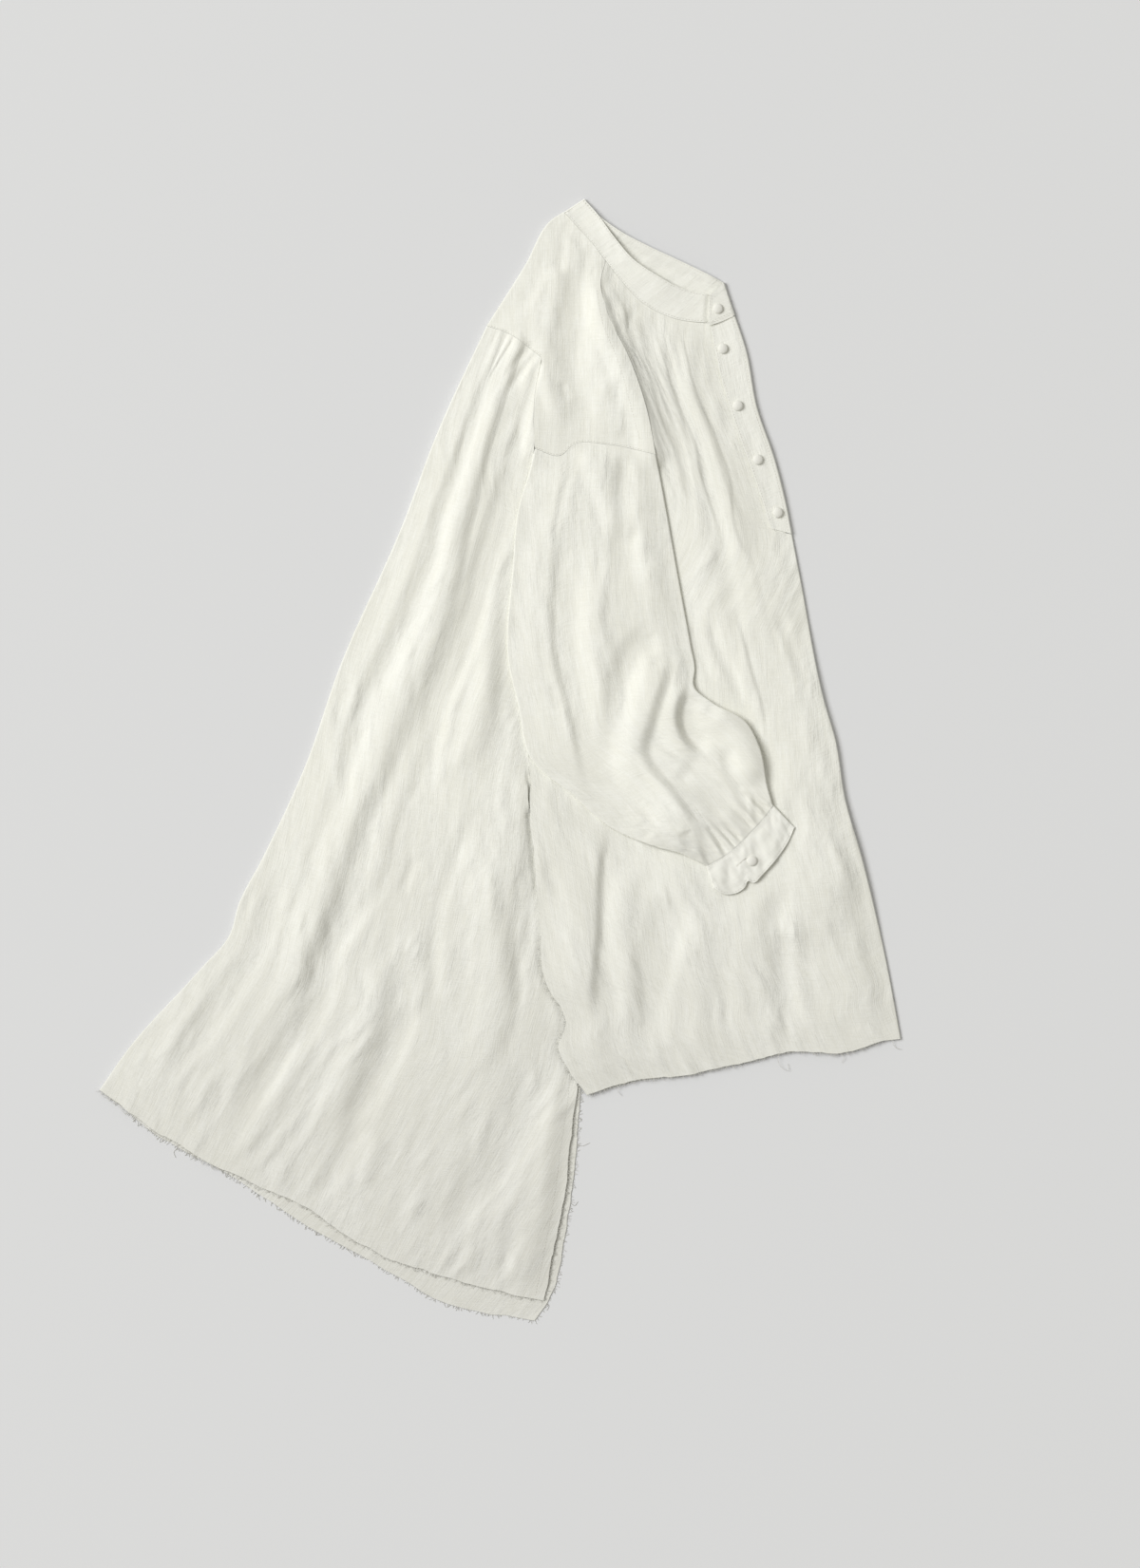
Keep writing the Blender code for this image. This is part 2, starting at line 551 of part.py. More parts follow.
def make_yoke():
    """The yoke with its dropped shoulder, folded down the centre back."""
    fold = inset(curve(YOKE_CENTRE_BACK, YOKE_ROWS), EDGE)
    front = inset(curve(YOKE_FRONT, YOKE_ROWS), -SEAM)
    foot = inset(chain(curve(YOKE_SEAM, 3), curve(YOKE_ARMHOLE, 5), curve(SLEEVE_SEAM, SEAM_STEPS)), GAP)
    upper = patched(inset(curve(NECK_BACK, len(foot) - 1), -SEAM), foot, fold, front)
    foot = inset(chain(curve(YOKE_SEAM, 4), curve(YOKE_ARMHOLE, 2), curve(SLEEVE_SEAM, 5)), GAP)
    lower = patched(inset(curve(NECK_BACK_UNDER, len(foot) - 1), -SEAM), foot, fold, front)
    over, under = raised(upper, yoke_height), raised(lower, level(FLOOR_MID))
    cloth("yoke", np.concatenate([under[:, ::-1], turn(under[:, 0], over[:, 0], -1), over], axis=1))


def make_front():
    """The front, one cut folded down the centre front and slit at the neck for the placket."""
    beside_fold = curve(BESIDE_FOLD, CENTRE_FRONT_ROWS)
    fold = chain(curve(FOLD_BY_SLIT, SLIT_ROWS), curve(CENTRE_FRONT, CENTRE_FRONT_ROWS))
    fold = inset(fold, -EDGE)[:, None]
    side = chain(curve(YOKE_FRONT, YOKE_ROWS), curve(FRONT_ARMHOLE, 4), curve(SIDE_SEAM, 4))
    edge = inset(chain(side, curve(FRONT_VENT, VENT_ROWS)), SEAM)
    edge_under = inset(chain(side, curve(FRONT_VENT_UNDER, VENT_ROWS)), SEAM)
    neck, hem = inset(curve(NECK_FRONT, FRONT_COLUMNS), -SEAM), curve(FRONT_HEM, FRONT_COLUMNS)
    upper = patched(neck, hem, edge, chain(curve(SLIT, SLIT_ROWS), beside_fold))
    neck = inset(curve(NECK_FRONT_UNDER[:-1], FRONT_UNDER_COLUMNS), -SEAM)
    hem = curve(FRONT_HEM, FRONT_UNDER_COLUMNS)
    lower = patched(neck, hem, edge_under, chain(curve(SLIT_UNDER, SLIT_ROWS), beside_fold))
    over = raised(np.concatenate([upper, (upper[:, -1:] + fold) / 2, fold], axis=1), front_height)
    under = raised(np.concatenate([lower, fold], axis=1), under_height)
    bend = turn(over[:, -1], under[:, -1], 1)
    grid = np.concatenate([over, bend, under[:, ::-1]], axis=1)
    # Above the slit's end, the columns between its two sides are cut away
    between = range(upper.shape[1] - 1, over.shape[1] + bend.shape[1] + 1)
    kept = [
        [row >= SLIT_ROWS or column not in between for column in range(grid.shape[1] - 1)]
        for row in range(grid.shape[0] - 1)
    ]
    cloth("front", grid, kept=kept)


def tube(name, upper, lower, over_height, low_height, finish=LINEN, depth=FOLD_DEPTH):
    """A flattened tube: an upper and a lower wall that turn into each other at both edges."""
    over, under = raised(upper, over_height), raised(lower, low_height)
    right = turn(over[:, -1], under[:, -1], 1, depth=depth)
    left = turn(under[:, 0], over[:, 0], -1, depth=depth)
    cloth(name, np.concatenate([over, right, under[:, ::-1], left], axis=1), finish, closed=True)


def sleeve_plan(rows, columns, shelter=0.0):
    """Plan of one wall of a sleeve, with its edges this far within the outline."""
    back = inset(curve(SLEEVE_BACK, rows), EDGE + shelter)
    front = inset(curve(SLEEVE_FRONT, rows), -EDGE - shelter)
    top, foot = curve(SLEEVE_SEAM, columns) + (0, -GAP), curve(CUFF_SEAM, columns) + (-SEAM, SEAM)
    return patched(top, shortened(foot, shelter), back, front)


def make_sleeves():
    """The sleeve on top, and the same sleeve hidden under the body."""
    upper, lower = sleeve_plan(SLEEVE_ROWS, SEAM_STEPS), sleeve_plan(SLEEVE_ROWS, 4)
    tube("sleeve_right", upper, lower, sleeve_height, top_sleeve_floor)
    hidden = sleeve_plan(HIDDEN_SLEEVE_ROWS, HIDDEN_SLEEVE_COLUMNS, HIDDEN_INSET)
    top = level_above(hidden_sleeve_floor, LAYER)
    tube("sleeve_left", hidden, hidden, top, hidden_sleeve_floor, depth=FLAT_FOLD_DEPTH)


def make_cuffs():
    """The two cuffs, each a narrow flat tube on its sleeve's end."""
    for name, low, loft, shelter in (
        ("cuff_right", top_sleeve_floor, CUFF_LOFT, 0.0),
        ("cuff_left", hidden_sleeve_floor, 0.0, HIDDEN_INSET),
    ):
        seam = shortened(curve(CUFF_SEAM, CUFF_COLUMNS), shelter) + (SEAM, -SEAM)
        edge = shortened(curve(CUFF_EDGE, CUFF_COLUMNS), shelter)
        sides = [curve((seam[at], edge[at]), 3) for at in (0, -1)]
        plan = patched(seam, edge, inset(sides[0], EDGE), inset(sides[1], -EDGE))
        top = level_above(low, LAYER + loft)
        tube(name, plan, plan, top, low, LINEN_DOUBLE, depth=FLAT_FOLD_DEPTH + loft / 2)


def band(top, foot, height):
    """A strip between two edge lines, as columns of three points from top to foot."""
    plan = np.stack([top, (top + foot) / 2, foot])
    return raised(plan, level(height))


def make_collar():
    """The band collar: right half, fold at the centre back, left half, fold at the front, tab on top."""
    foot = inset(chain(curve(NECK_BACK, 6), curve(NECK_FRONT, 10)), SEAM)
    right = band(curve(COLLAR_TOP, len(foot) - 1)[::-1], foot[::-1], COLLAR_HEIGHT)
    foot = inset(chain(curve(NECK_BACK_UNDER, 4), curve(NECK_FRONT_UNDER, 9)), SEAM)
    left = band(curve(COLLAR_TOP_UNDER, len(foot) - 1), foot, COLLAR_WALL / 2)
    tab = band(curve(TAB_TOP, 3), curve(TAB_FOOT, 3), TAB_HEIGHT)
    for strip, column, way in (
        (right, -1, (1, -1)), (left, 0, (1, -1)), (left, -1, (-1, 0)), (tab, 0, (-1, 0)),
    ):
        strip[:, column, :2] += np.array(way) * COLLAR_TRIM
    behind = turn(right[:, -1], left[:, 0], -1, depth=COLLAR_FOLD_DEPTH)
    before = turn(left[:, -1], tab[:, 0], 1, depth=COLLAR_FOLD_DEPTH)
    grid = np.concatenate([right, behind, left, before, tab], axis=1)
    cloth("collar", grid, LINEN_DOUBLE, wall=COLLAR_WALL)


def strip_between(left, right, shares):
    """Plan of a placket strip: columns at these shares of the way between its edges, ends turned in."""
    plan = np.stack([left + (right - left) * share for share in shares], axis=1)
    plan[0, :, 1] -= PLACKET_TURN_IN
    plan[-1, :, 1] += PLACKET_TURN_IN
    return plan


def make_plackets():
    """The strip that wraps the centre front on top, and the one on the slit's other side below it."""
    fold_by_slit = curve(FOLD_BY_SLIT, PLACKET_ROWS)
    fold = inset(fold_by_slit, -EDGE)
    hidden_edge = inset(curve(SLIT_UNDER, PLACKET_ROWS), PLACKET_UNDER_INSET)
    over = strip_between(curve(PLACKET_EDGE, PLACKET_ROWS), fold, (0, 1 / 3, 2 / 3, 1))
    top = raised(over, level_above(over_base, PLACKET_LIFT))
    bottom = raised(strip_between(fold, hidden_edge, (0, 1 / 2, 1)), under_height)
    wrap = turn(top[:, -1], bottom[:, 0], 1)
    cloth("placket_over", np.concatenate([top, wrap, bottom], axis=1), LINEN_DOUBLE)
    left, right = inset(curve(SLIT, PLACKET_ROWS), SEAM), inset(fold_by_slit, -PLACKET_UNDER_REACH)
    cloth("placket_under", raised(strip_between(left, right, (0, 1 / 2, 1)), over_base), LINEN_DOUBLE)


def button(name, place, floor, face_down=False):
    """A covered button: a domed disc with a rolled edge, turned round its own middle."""
    radius, height = BUTTON_DIAMETER / 2 * MM, BUTTON_HEIGHT * MM
    shape = bmesh.new()
    points = [shape.verts.new((r * radius, 0, z * height)) for r, z in BUTTON_SECTION]
    edges = [shape.edges.new(pair) for pair in zip(points, points[1:])]
    bmesh.ops.spin(
        shape, geom=points + edges, axis=(0, 0, 1), cent=(0, 0, 0), angle=math.tau, steps=BUTTON_SIDES,
        use_merge=True,
    )
    bmesh.ops.remove_doubles(shape, verts=shape.verts, dist=1e-5)
    bmesh.ops.recalc_face_normals(shape, faces=shape.faces)
    mesh = bpy.data.meshes.new(name)
    shape.to_mesh(mesh)
    shape.free()
    mesh.shade_smooth()
    mesh.materials.append(material_of(BUTTON_LINEN))
    piece = bpy.data.objects.new(name, mesh)
    piece.location = (place[0] * MM, place[1] * MM, (floor + GAP) * MM)
    if face_down:
        piece.rotation_euler.x = math.pi
        piece.location.z = height
    bpy.context.scene.collection.objects.link(piece)


def make_buttons():
    """The collar's button, the placket's four and one on each cuff."""
    button("button_collar", COLLAR_BUTTON, TAB_HEIGHT + COLLAR_WALL / 2)
    for seat in PLACKET_BUTTONS:
        place = (seat.right, seat.up)
        button(seat.name, place, over_base(np.array([place], float))[0] + PLACKET_LIFT + WALL / 2)
    cuff_top = top_sleeve_floor(np.array([CUFF_BUTTON], float))[0] + LAYER + CUFF_LOFT + WALL / 2
    button("button_cuff_right", CUFF_BUTTON, cuff_top)
    button("button_cuff_left", CUFF_BUTTON, 0, face_down=True)


def centre():
    """Move every piece so that the middle of the laid shirt is the origin."""
    corners = [piece.matrix_world @ vertex.co for piece in bpy.data.objects for vertex in piece.data.vertices]
    for axis in (0, 1):
        values = [corner[axis] for corner in corners]
        for piece in bpy.data.objects:
            piece.location[axis] -= (min(values) + max(values)) / 2


def main():
    """Build every piece in an empty scene."""
    for old in list(bpy.data.objects):
        bpy.data.objects.remove(old)
    make_back()
    make_yoke()
    make_front()
    make_sleeves()
    make_cuffs()
    make_collar()
    make_plackets()
    make_buttons()
    bpy.context.view_layer.update()
    centre()


main()
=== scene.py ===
"""Looks of a popover shirt of ivory linen, folded down its middle and laid flat.

Tables are in millimetres from the middle of the laid shirt: right (+X) and up towards the collar
(+Y). The floor is Z = 0. The wearer's right side lies on top. Lines run from the neck to the hem or
from left to right, but for those of the collar's tab.
"""

import logging
import math
from dataclasses import dataclass
from enum import Enum, IntEnum

import bmesh
import bpy
import numpy as np
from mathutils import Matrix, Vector
from mathutils.bvhtree import BVHTree

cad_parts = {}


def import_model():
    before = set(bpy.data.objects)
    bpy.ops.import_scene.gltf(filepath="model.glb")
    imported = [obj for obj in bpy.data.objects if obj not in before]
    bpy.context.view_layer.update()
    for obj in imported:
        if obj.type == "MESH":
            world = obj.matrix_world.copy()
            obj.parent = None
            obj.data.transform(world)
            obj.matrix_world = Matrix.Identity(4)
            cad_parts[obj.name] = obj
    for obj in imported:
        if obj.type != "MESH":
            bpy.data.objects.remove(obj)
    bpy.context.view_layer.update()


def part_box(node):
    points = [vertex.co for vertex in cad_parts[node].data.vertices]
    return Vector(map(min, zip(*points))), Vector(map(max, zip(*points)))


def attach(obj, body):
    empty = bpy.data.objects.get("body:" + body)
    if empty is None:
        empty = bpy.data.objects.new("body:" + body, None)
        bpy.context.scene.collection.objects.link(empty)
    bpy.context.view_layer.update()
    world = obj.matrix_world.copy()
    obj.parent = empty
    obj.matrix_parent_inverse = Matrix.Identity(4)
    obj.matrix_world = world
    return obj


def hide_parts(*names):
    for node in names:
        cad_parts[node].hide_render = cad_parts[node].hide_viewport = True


Array = np.ndarray
Colour = tuple[float, float, float]
Line = tuple[tuple[float, float], ...]
Socket = bpy.types.NodeSocket

LOG = logging.getLogger("shirt")
MM = 0.001
TINY = 1e-9  # keeps a division from failing
BODY = "root"

# Walls and the room between layers, in millimetres
CAD_WALL = 1.0
CLOTH = 0.55
DOUBLED = 0.9  # of the cuffs and placket strips
COLLAR_CLOTH = 1.1
GAP = 0.3
LAYER = CAD_WALL + GAP
PRESSED = 0.4  # between layers where something lies on them
LOFT = 4.0  # between the body's layers, away from folds
SLEEVE_LOFT = 4.6  # between the top sleeve's walls
CUFF_LOFT = 1.2
SEAM = 0.1  # from an edge's line to the cloth
FOLD_DEPTH = 0.8  # how far round cloth reaches past its last column at a fold
EDGE = FOLD_DEPTH + CLOTH / 2  # from the outline of a fold to the last flat column
HIDDEN_INSET = 17.6  # the hidden sleeve lies this far within the outline of the one on top
SHELTER = 16  # the body climbs over the outline this far within it
SEAM_CORNERS = 292  # the top sleeve presses on the body only below this
BUTTON_DIAMETER = 10.5
BUTTON_HEIGHT = 4.2
FLOOR_MID = CAD_WALL / 2
SLEEVE_STACK = 2 * LAYER  # the hidden sleeve's two walls
SLEEVE_ROOM = 1.2  # between the body's upper layer and the sleeve on top
SLEEVE_LOW = FLOOR_MID + SLEEVE_STACK + LAYER + PRESSED + CAD_WALL + SLEEVE_ROOM
SHOULDER_RISE = SLEEVE_LOW - FLOOR_MID - SLEEVE_STACK
FRONT_LAP = LAYER + 0.6  # the front over the back, below the vent's top
PLACKET_LIFT = LAYER + 0.5
COLLAR_HEIGHT = 2.9
TAB_HEIGHT = 5.3
SHARP_FROM = 50  # degrees between faces, such as a wall's side and its rim

# Steps along lines
OUTLINE_STEPS = 24  # where only the distance to the line counts
STEPS_PER_POINT = 12  # of a smooth line, before it is divided evenly

# Outlines as laid. Columns: right, up
CENTRE_BACK = (
    (-13, 434), (-62, 328), (-98, 233), (-161, 90), (-194, -5), (-238, -100), (-262, -147), (-269, -173),
    (-300, -210), (-372, -290), (-400, -330),
)
YOKE_CENTRE_BACK = ((64, 548), (53, 541), (25, 494), (-13, 434))
YOKE_SEAM = ((-13, 434), (9, 426), (42, 402))
YOKE_ARMHOLE = ((42, 402), (36, 370), (34, 340), (35, 311))
SLEEVE_SEAM = ((35, 311), (61, 304), (74, 315), (108, 315), (156, 305))
YOKE_FRONT = ((106, 499), (101, 478), (107, 449), (130, 400), (147, 350), (156, 305))
NECK_BACK = ((64, 548), (76, 535), (93, 516), (106, 499))
NECK_FRONT = ((106, 499), (120, 481), (143, 457), (172, 442), (216, 436))
NECK_BACK_UNDER = ((64, 548), (76, 531), (92, 514), (105, 503))
NECK_FRONT_UNDER = ((105, 503), (128, 487), (160, 471), (195, 456), (214, 450), (235, 444))
BACK_HEM = (
    (-400, -330), (-346, -370), (-264, -416), (-191, -449), (-141, -484), (-60, -515), (44, -541),
)
BACK_HEM_UNDER = (
    (-400, -330), (-346, -372), (-249, -428), (-177, -475), (-97, -519), (-57, -543), (-24, -551),
    (35, -561),
)
BACK_ARMHOLE = (
    (42, 402), (36, 370), (34, 340), (34.7, 312), (32.6, 297), (31.5, 280), (34, 262), (60, 218),
)
SIDE_SEAM = ((60, 218), (48, 110), (29, 5))
BACK_VENT = (
    (29, 5), (32, -54), (48, -112), (68, -209), (78, -331), (70, -388), (64, -435), (52, -500), (44, -541),
)
BACK_VENT_UNDER = (
    (29, 5), (32, -54), (50, -112), (72, -209), (81, -331), (76, -388), (67, -460), (51, -537), (35, -561),
)
FRONT_ARMHOLE = ((156, 305), (158.5, 292), (160, 280), (156, 255), (110, 228), (60, 218))
FRONT_VENT = ((29, 5), (30.4, -54), (39.5, -152), (46, -224), (65, -260), (59, -288), (70, -311), (87, -335))
FRONT_VENT_UNDER = ((29, 5), (34, -54), (52, -112), (75, -209), (87, -333))
FRONT_HEM = ((87, -335), (133, -322), (181, -315), (250, -301), (295, -291), (342, -292), (383, -281))
SLIT = ((216, 436), (226, 380), (234, 352), (251, 300), (266, 257), (275, 229))
SLIT_UNDER = ((214, 450), (226, 380), (234, 352), (251, 300), (266, 257), (275, 229))
BESIDE_FOLD = ((275, 229), (283, 179), (306, 57), (325, -37), (343, -101), (369, -204), (383, -281))
FOLD_BY_SLIT = ((235, 444), (246, 411), (257, 353), (275, 300), (287, 252), (292, 226))
CENTRE_FRONT = (
    (292, 226), (301, 179), (325, 57), (336, 19), (345, -37), (363, -101), (387, -204), (401, -279),
)
PLACKET_EDGE = ((210.5, 434), (215, 411), (222, 380), (230, 352), (248, 300), (263, 257), (271, 231))
SLEEVE_BACK = (
    (35, 311), (29, 285), (20, 257), (13, 190), (9, 95), (18, 57), (32, 0), (70, -33), (111, -68),
    (156, -87), (184, -95), (207, -106),
)
SLEEVE_FRONT = (
    (156, 305), (165, 257), (177, 190), (191, 114), (195, 92), (194, 74), (213, 57), (246, 38), (259, 14),
    (268, -29), (273, -46),
)
CUFF_SEAM = ((207, -106), (229, -93), (248, -75), (267, -54), (273, -46))
CUFF_EDGE = (
    (214, -128), (221, -133), (229, -134.5), (239, -132), (245, -127), (248, -121), (253, -123), (262, -115),
    (277, -98), (290, -78), (294, -68),
)
COLLAR_TOP = ((84, 561), (95, 549), (115, 522), (133, 501), (156, 485), (178, 473), (200, 467), (218, 464))
COLLAR_TOP_UNDER = ((84, 561), (93, 550), (120, 529), (148, 514), (178, 500), (207, 486), (224, 477))
TAB_TOP = ((224, 477), (217, 471), (210, 465))
TAB_FOOT = ((235, 444), (219, 437), (209, 434))
YOKE_STITCHES = ((97, 470), (104, 433), (114, 409), (121, 390), (131, 353), (140, 320))
SLEEVE_SLIT = ((194, -46), (208, -66), (226, -93))
CUFF_BUTTONHOLE = ((236, -107), (246, -98))
TAB_EDGE = ((209.5, 463), (208.5, 452), (208, 443), (209, 435.5), (219, 438.5), (232, 444))
RAW_COLLAR = ((89, 551), (105, 531), (122, 512))
FRONT_STRAYS = (
    ((281, -291), (278, -300), (282, -308), (289, -311), (288, -304)),
    ((392, -280), (396, -288), (402, -290)), ((340, -291), (344, -298), (342, -303)),
    ((121, -324), (118, -331), (122, -336)),
)
BACK_STRAYS = (
    ((74, -384), (83, -386), (90, -383)), ((68, -440), (75, -446), (78, -442)),
    ((-320, -386), (-326, -393), (-324, -398)), ((-150, -481), (-153, -489), (-148, -494)),
    ((44, -541), (49, -546), (47, -551)),
)
CUFF_LAP = ((228, -92), (240, -106), (254, -119))
PLACKET_BUTTONS = {
    "button_placket_1": (223, 411), "button_placket_2": (238, 354),
    "button_placket_3": (258, 300), "button_placket_4": (278, 247),
}
CUFF_BUTTON = (252, -101)

# A button from its foot up: a disc, then rings. Columns: width against what is below it, or for the
# disc against the whole button, and rise against the button's height
BUTTON_FOOT = (0.62, 0.14)
BUTTON_RINGS = (
    (0.92 / 0.62, 0.03), (1.0 / 0.92, 0.17), (0.96, 0.2), (0.88, 0.18), (0.76, 0.14), (0.62, 0.08),
    (0.45, 0.045), (0.3, 0.015),
)
# A loose thread from its root to its tip. Columns: share of its length, drop below the cloth
THREAD_DROPS = ((0, 0.35), (0.35, 0.5), (0.7, 0.75), (1, 0.95))
THREAD_ANGLES = (0.5, 2.6, 4.7)  # of a thread's three corners
# A stitch has an end before and behind its middle. Pairs of the middle's corners, in order round it
STITCH_SIDES = ((2, 4), (4, 3), (3, 5), (5, 2))


@dataclass(frozen=True)
class Crease:
    """A fold of the cloth: a ridge, or a trough where its height is below zero.

    Height and reaches are in millimetres. It reaches to the left and to the right of its line, and
    starts at the given share of that width, as a gather does at its seam.
    """

    height: float
    left: float
    right: float
    line: Line
    start: float = 1.0


BACK_FOLDS = (
    Crease(-3.8, 13, 13, ((4, 424), (-20, 361), (-56, 247), (-91, 143), (-143, 29), (-172, -86)), 0.4),
    Crease(5.0, 20, 15, (
        (18, 418), (-29, 276), (-67, 133), (-120, 0), (-172, -124), (-224, -257), (-295, -361),
    ), 0.4),
    Crease(-2.6, 8, 8, ((30, 413), (11, 371)), 0.5),
    Crease(-4.6, 18, 13, ((39, 394), (9, 276), (-29, 133), (-72, 10), (-77, -29), (-67, -67)), 0.35),
    Crease(4.2, 14, 14, ((9, 171), (-10, 86), (-34, 10), (-48, -19))),
    Crease(-3.8, 16, 14, ((-219, -95), (-229, -152), (-267, -228), (-324, -314))),
    Crease(-4.4, 20, 15, ((-124, -119), (-167, -190), (-186, -252), (-224, -304), (-257, -371))),
    Crease(4.6, 19, 15, ((-110, -190), (-124, -238), (-156, -323), (-176, -375))),
    Crease(-3.6, 14, 14, ((-86, -238), (-120, -314), (-153, -375))),
    Crease(4.4, 26, 20, ((2, -57), (-6, -152), (-1, -228), (-29, -333))),
    Crease(-4.6, 30, 18, ((49, -290), (32, -342), (4, -409), (-67, -478))),
    Crease(2.0, 17, 12, ((62, -330), (56, -400), (44, -450))),
)
BACK_FINE = (
    Crease(-1.6, 7, 7, ((-82, -95), (-101, -138))),
    Crease(-1.8, 8, 8, ((18, -466), (4, -513))),
    Crease(-2.0, 10, 10, ((9, 57), (-15, -29))),
    Crease(-2.5, 10, 8, ((32, -19), (34, -114), (35, -152), (23, -209), (18, -266))),
    Crease(2.2, 6, 16, ((-190, -262), (-222, -325), (-269, -408))),
    Crease(-2.6, 12, 12, ((-137, -359), (-191, -446))),
    Crease(1.8, 9, 10, ((-120, -374), (-142, -424))),
    Crease(-2.4, 8, 7, ((12, -500), (-2, -519))),
    Crease(1.6, 8, 8, ((19, -495), (5, -528))),
    Crease(-2.0, 10, 9, ((-180, -180), (-215, -245), (-262, -310))),
    Crease(1.8, 10, 10, ((-60, 60), (-105, -50), (-140, -160))),
    Crease(-1.8, 9, 9, ((-35, -60), (-60, -160), (-72, -260))),
    Crease(1.6, 9, 9, ((-300, -240), (-345, -310))),
)
YOKE_FOLDS = (
    Crease(-3.8, 23, 15, ((84, 523), (78, 437), (73, 390), (85, 333), (94, 300))),
    Crease(3.2, 17, 24, ((99, 485), (103, 428), (111, 370), (116, 310))),
    Crease(3.4, 12, 24, ((40, 445), (46, 400), (56, 365), (70, 330)), 0.8),
)
EDGE_OF_YOKE = Crease(
    6.6, 14, 27, ((99, 494), (95, 474), (101, 447), (124, 398), (141, 349), (151, 305), (160, 262)), 0.99,
)
BELOW_YOKE = Crease(
    -2.8, 5, 12, ((112, 496), (107, 478), (114, 450), (136, 402), (153, 352), (163, 304), (171, 262)), 0.99,
)
YOKE_FINE = (
    Crease(-1.6, 8, 8, ((50, 520), (30, 470), (20, 445))),
    Crease(1.4, 10, 10, ((60, 500), (52, 450), (48, 420))),
    Crease(-1.4, 5, 5, ((63, 378), (70, 359))),
    Crease(-1.2, 4, 4, ((98, 496), (93, 484))),
    Crease(-1.2, 4, 4, ((104, 480), (96, 472))),
    Crease(-3.0, 6, 6, ((66, 541), (73, 526), (85, 513))),
    Crease(-3.0, 11, 8, ((64, 540), (60, 512), (54, 484))),
)
FRONT_FOLDS = (
    EDGE_OF_YOKE, BELOW_YOKE,
    Crease(-1.7, 12, 9, ((156, 447), (177, 380), (208, 266), (234, 165), (251, 57), (262, 20)), 0.4),
    Crease(0.8, 12, 6, ((175, 437), (189, 390), (232, 257), (260, 152), (278, 80)), 0.4),
    Crease(-1.2, 11, 8, ((191, 428), (218, 333), (260, 228), (294, 124)), 0.5),
    Crease(2.8, 32, 7, ((104, -62), (98, -106), (95, -176), (88, -225), (84, -266)), 0.9),
    Crease(-2.8, 8, 28, ((116, -62), (109, -106), (106, -176), (100, -235), (98, -276)), 0.9),
    Crease(3.4, 14, 14, ((126, -100), (124, -190), (133, -280))),
    Crease(-4.0, 24, 16, ((184, -130), (161, -200), (151, -238), (156, -304))),
    Crease(-4.2, 15, 12, ((275, -115), (281, -171), (296, -266), (308, -289))),
    Crease(3.6, 28, 24, ((322, -95), (343, -190), (358, -270))),
)
FRONT_FINE = (
    Crease(2.4, 12, 3.5, ((233, 152), (246, 108), (249, 86), (259, 42), (265, 7), (271, -42))),
    Crease(-1.8, 7, 7, ((276, 152), (290, 116), (299, 86), (302, 50))),
    Crease(-2.2, 7, 7, ((210, 143), (230, 86), (243, 42))),
    Crease(-1.6, 6, 6, ((168, 352), (180, 304), (192, 250))),
    Crease(1.7, 10, 3.5, ((154, 426), (171, 378), (192, 316), (200, 275), (212, 241), (226, 197)), 0.6),
    Crease(1.3, 9, 3.5, ((183, 415), (192, 381), (216, 316), (226, 289), (236, 221), (264, 176)), 0.6),
    Crease(1.2, 11, 4, ((127, 426), (149, 381), (163, 330), (181, 282), (192, 241)), 0.6),
    Crease(1.0, 8, 3, ((203, 408), (214, 360), (232, 300), (252, 240))),
    Crease(-1.4, 6, 8, ((47, -100), (61, -142))),
    Crease(2.6, 11, 3, ((101, 480), (113, 469), (122, 456), (126, 440), (123, 420))),
    Crease(-1.6, 14, 14, ((230, -150), (222, -230), (226, -290))),
    Crease(1.4, 12, 12, ((200, -160), (196, -240), (204, -300))),
)
SLEEVE_FOLDS = (
    Crease(4.0, 14, 24, ((82, 326), (96, 288), (113, 252), (122, 214)), 0.8),
    Crease(-3.6, 13, 14, ((126, 322), (122, 247), (129, 166)), 0.6),
    Crease(3.0, 20, 15, ((148, 280), (158, 200), (168, 140))),
    Crease(-5.6, 12, 26, ((66, 240), (61, 152), (67, 95), (75, 57), (85, 24), (97, -28), (112, -72))),
    Crease(3.4, 24, 20, ((94, 200), (98, 120), (104, 57), (118, -10))),
    Crease(-4.8, 17, 15, ((165, 133), (137, 110), (127, 86), (118, 10), (123, -10))),
    Crease(6.6, 23, 10, (
        (168, 112), (157, 75), (146, 40), (139, 10), (144, -8), (165, -32), (190, -66), (214, -92),
    )),
    Crease(5.4, 16, 8, ((186, 92), (179, 67), (175, 40), (183, 18), (202, 6)), 0.8),
    Crease(-5.6, 8, 17, ((188, 72), (184, 40), (193, 20), (212, 10))),
    Crease(5.2, 19, 14, ((208, 52), (233, 30), (247, 4), (254, -30))),
    Crease(-3.0, 14, 18, ((176, -6), (204, -30), (226, -62))),
)
SLEEVE_FINE = (
    Crease(3.0, 9, 34, ((143, 14), (157, -14), (178, -37), (195, -58), (213, -79))),
    Crease(-2.5, 9, 9, ((226, 16), (232, -14), (252, -44))),
    Crease(2.0, 4, 4, ((237, -28), (246, -33), (250, -64))),
    Crease(-1.8, 8, 8, ((104, -10), (165, -67))),
    Crease(-1.5, 7, 7, ((47, 76), (61, 48))),
    Crease(-2.0, 10, 10, ((127, 228), (156, 217), (170, 198))),
    Crease(-2.0, 8, 8, ((140, -62), (152, -78))),
    Crease(-2.0, 7, 7, ((186, -70), (196, -92))),
    Crease(1.6, 9, 9, ((30, 230), (28, 150), (38, 70))),
    Crease(-1.6, 8, 8, ((150, 130), (160, 90))),
)


@dataclass(frozen=True)
class Gathers:
    """A row of small gathers along a seam: how many, how high and how long, in millimetres."""

    count: float
    height: float
    length: float
    seam: Line


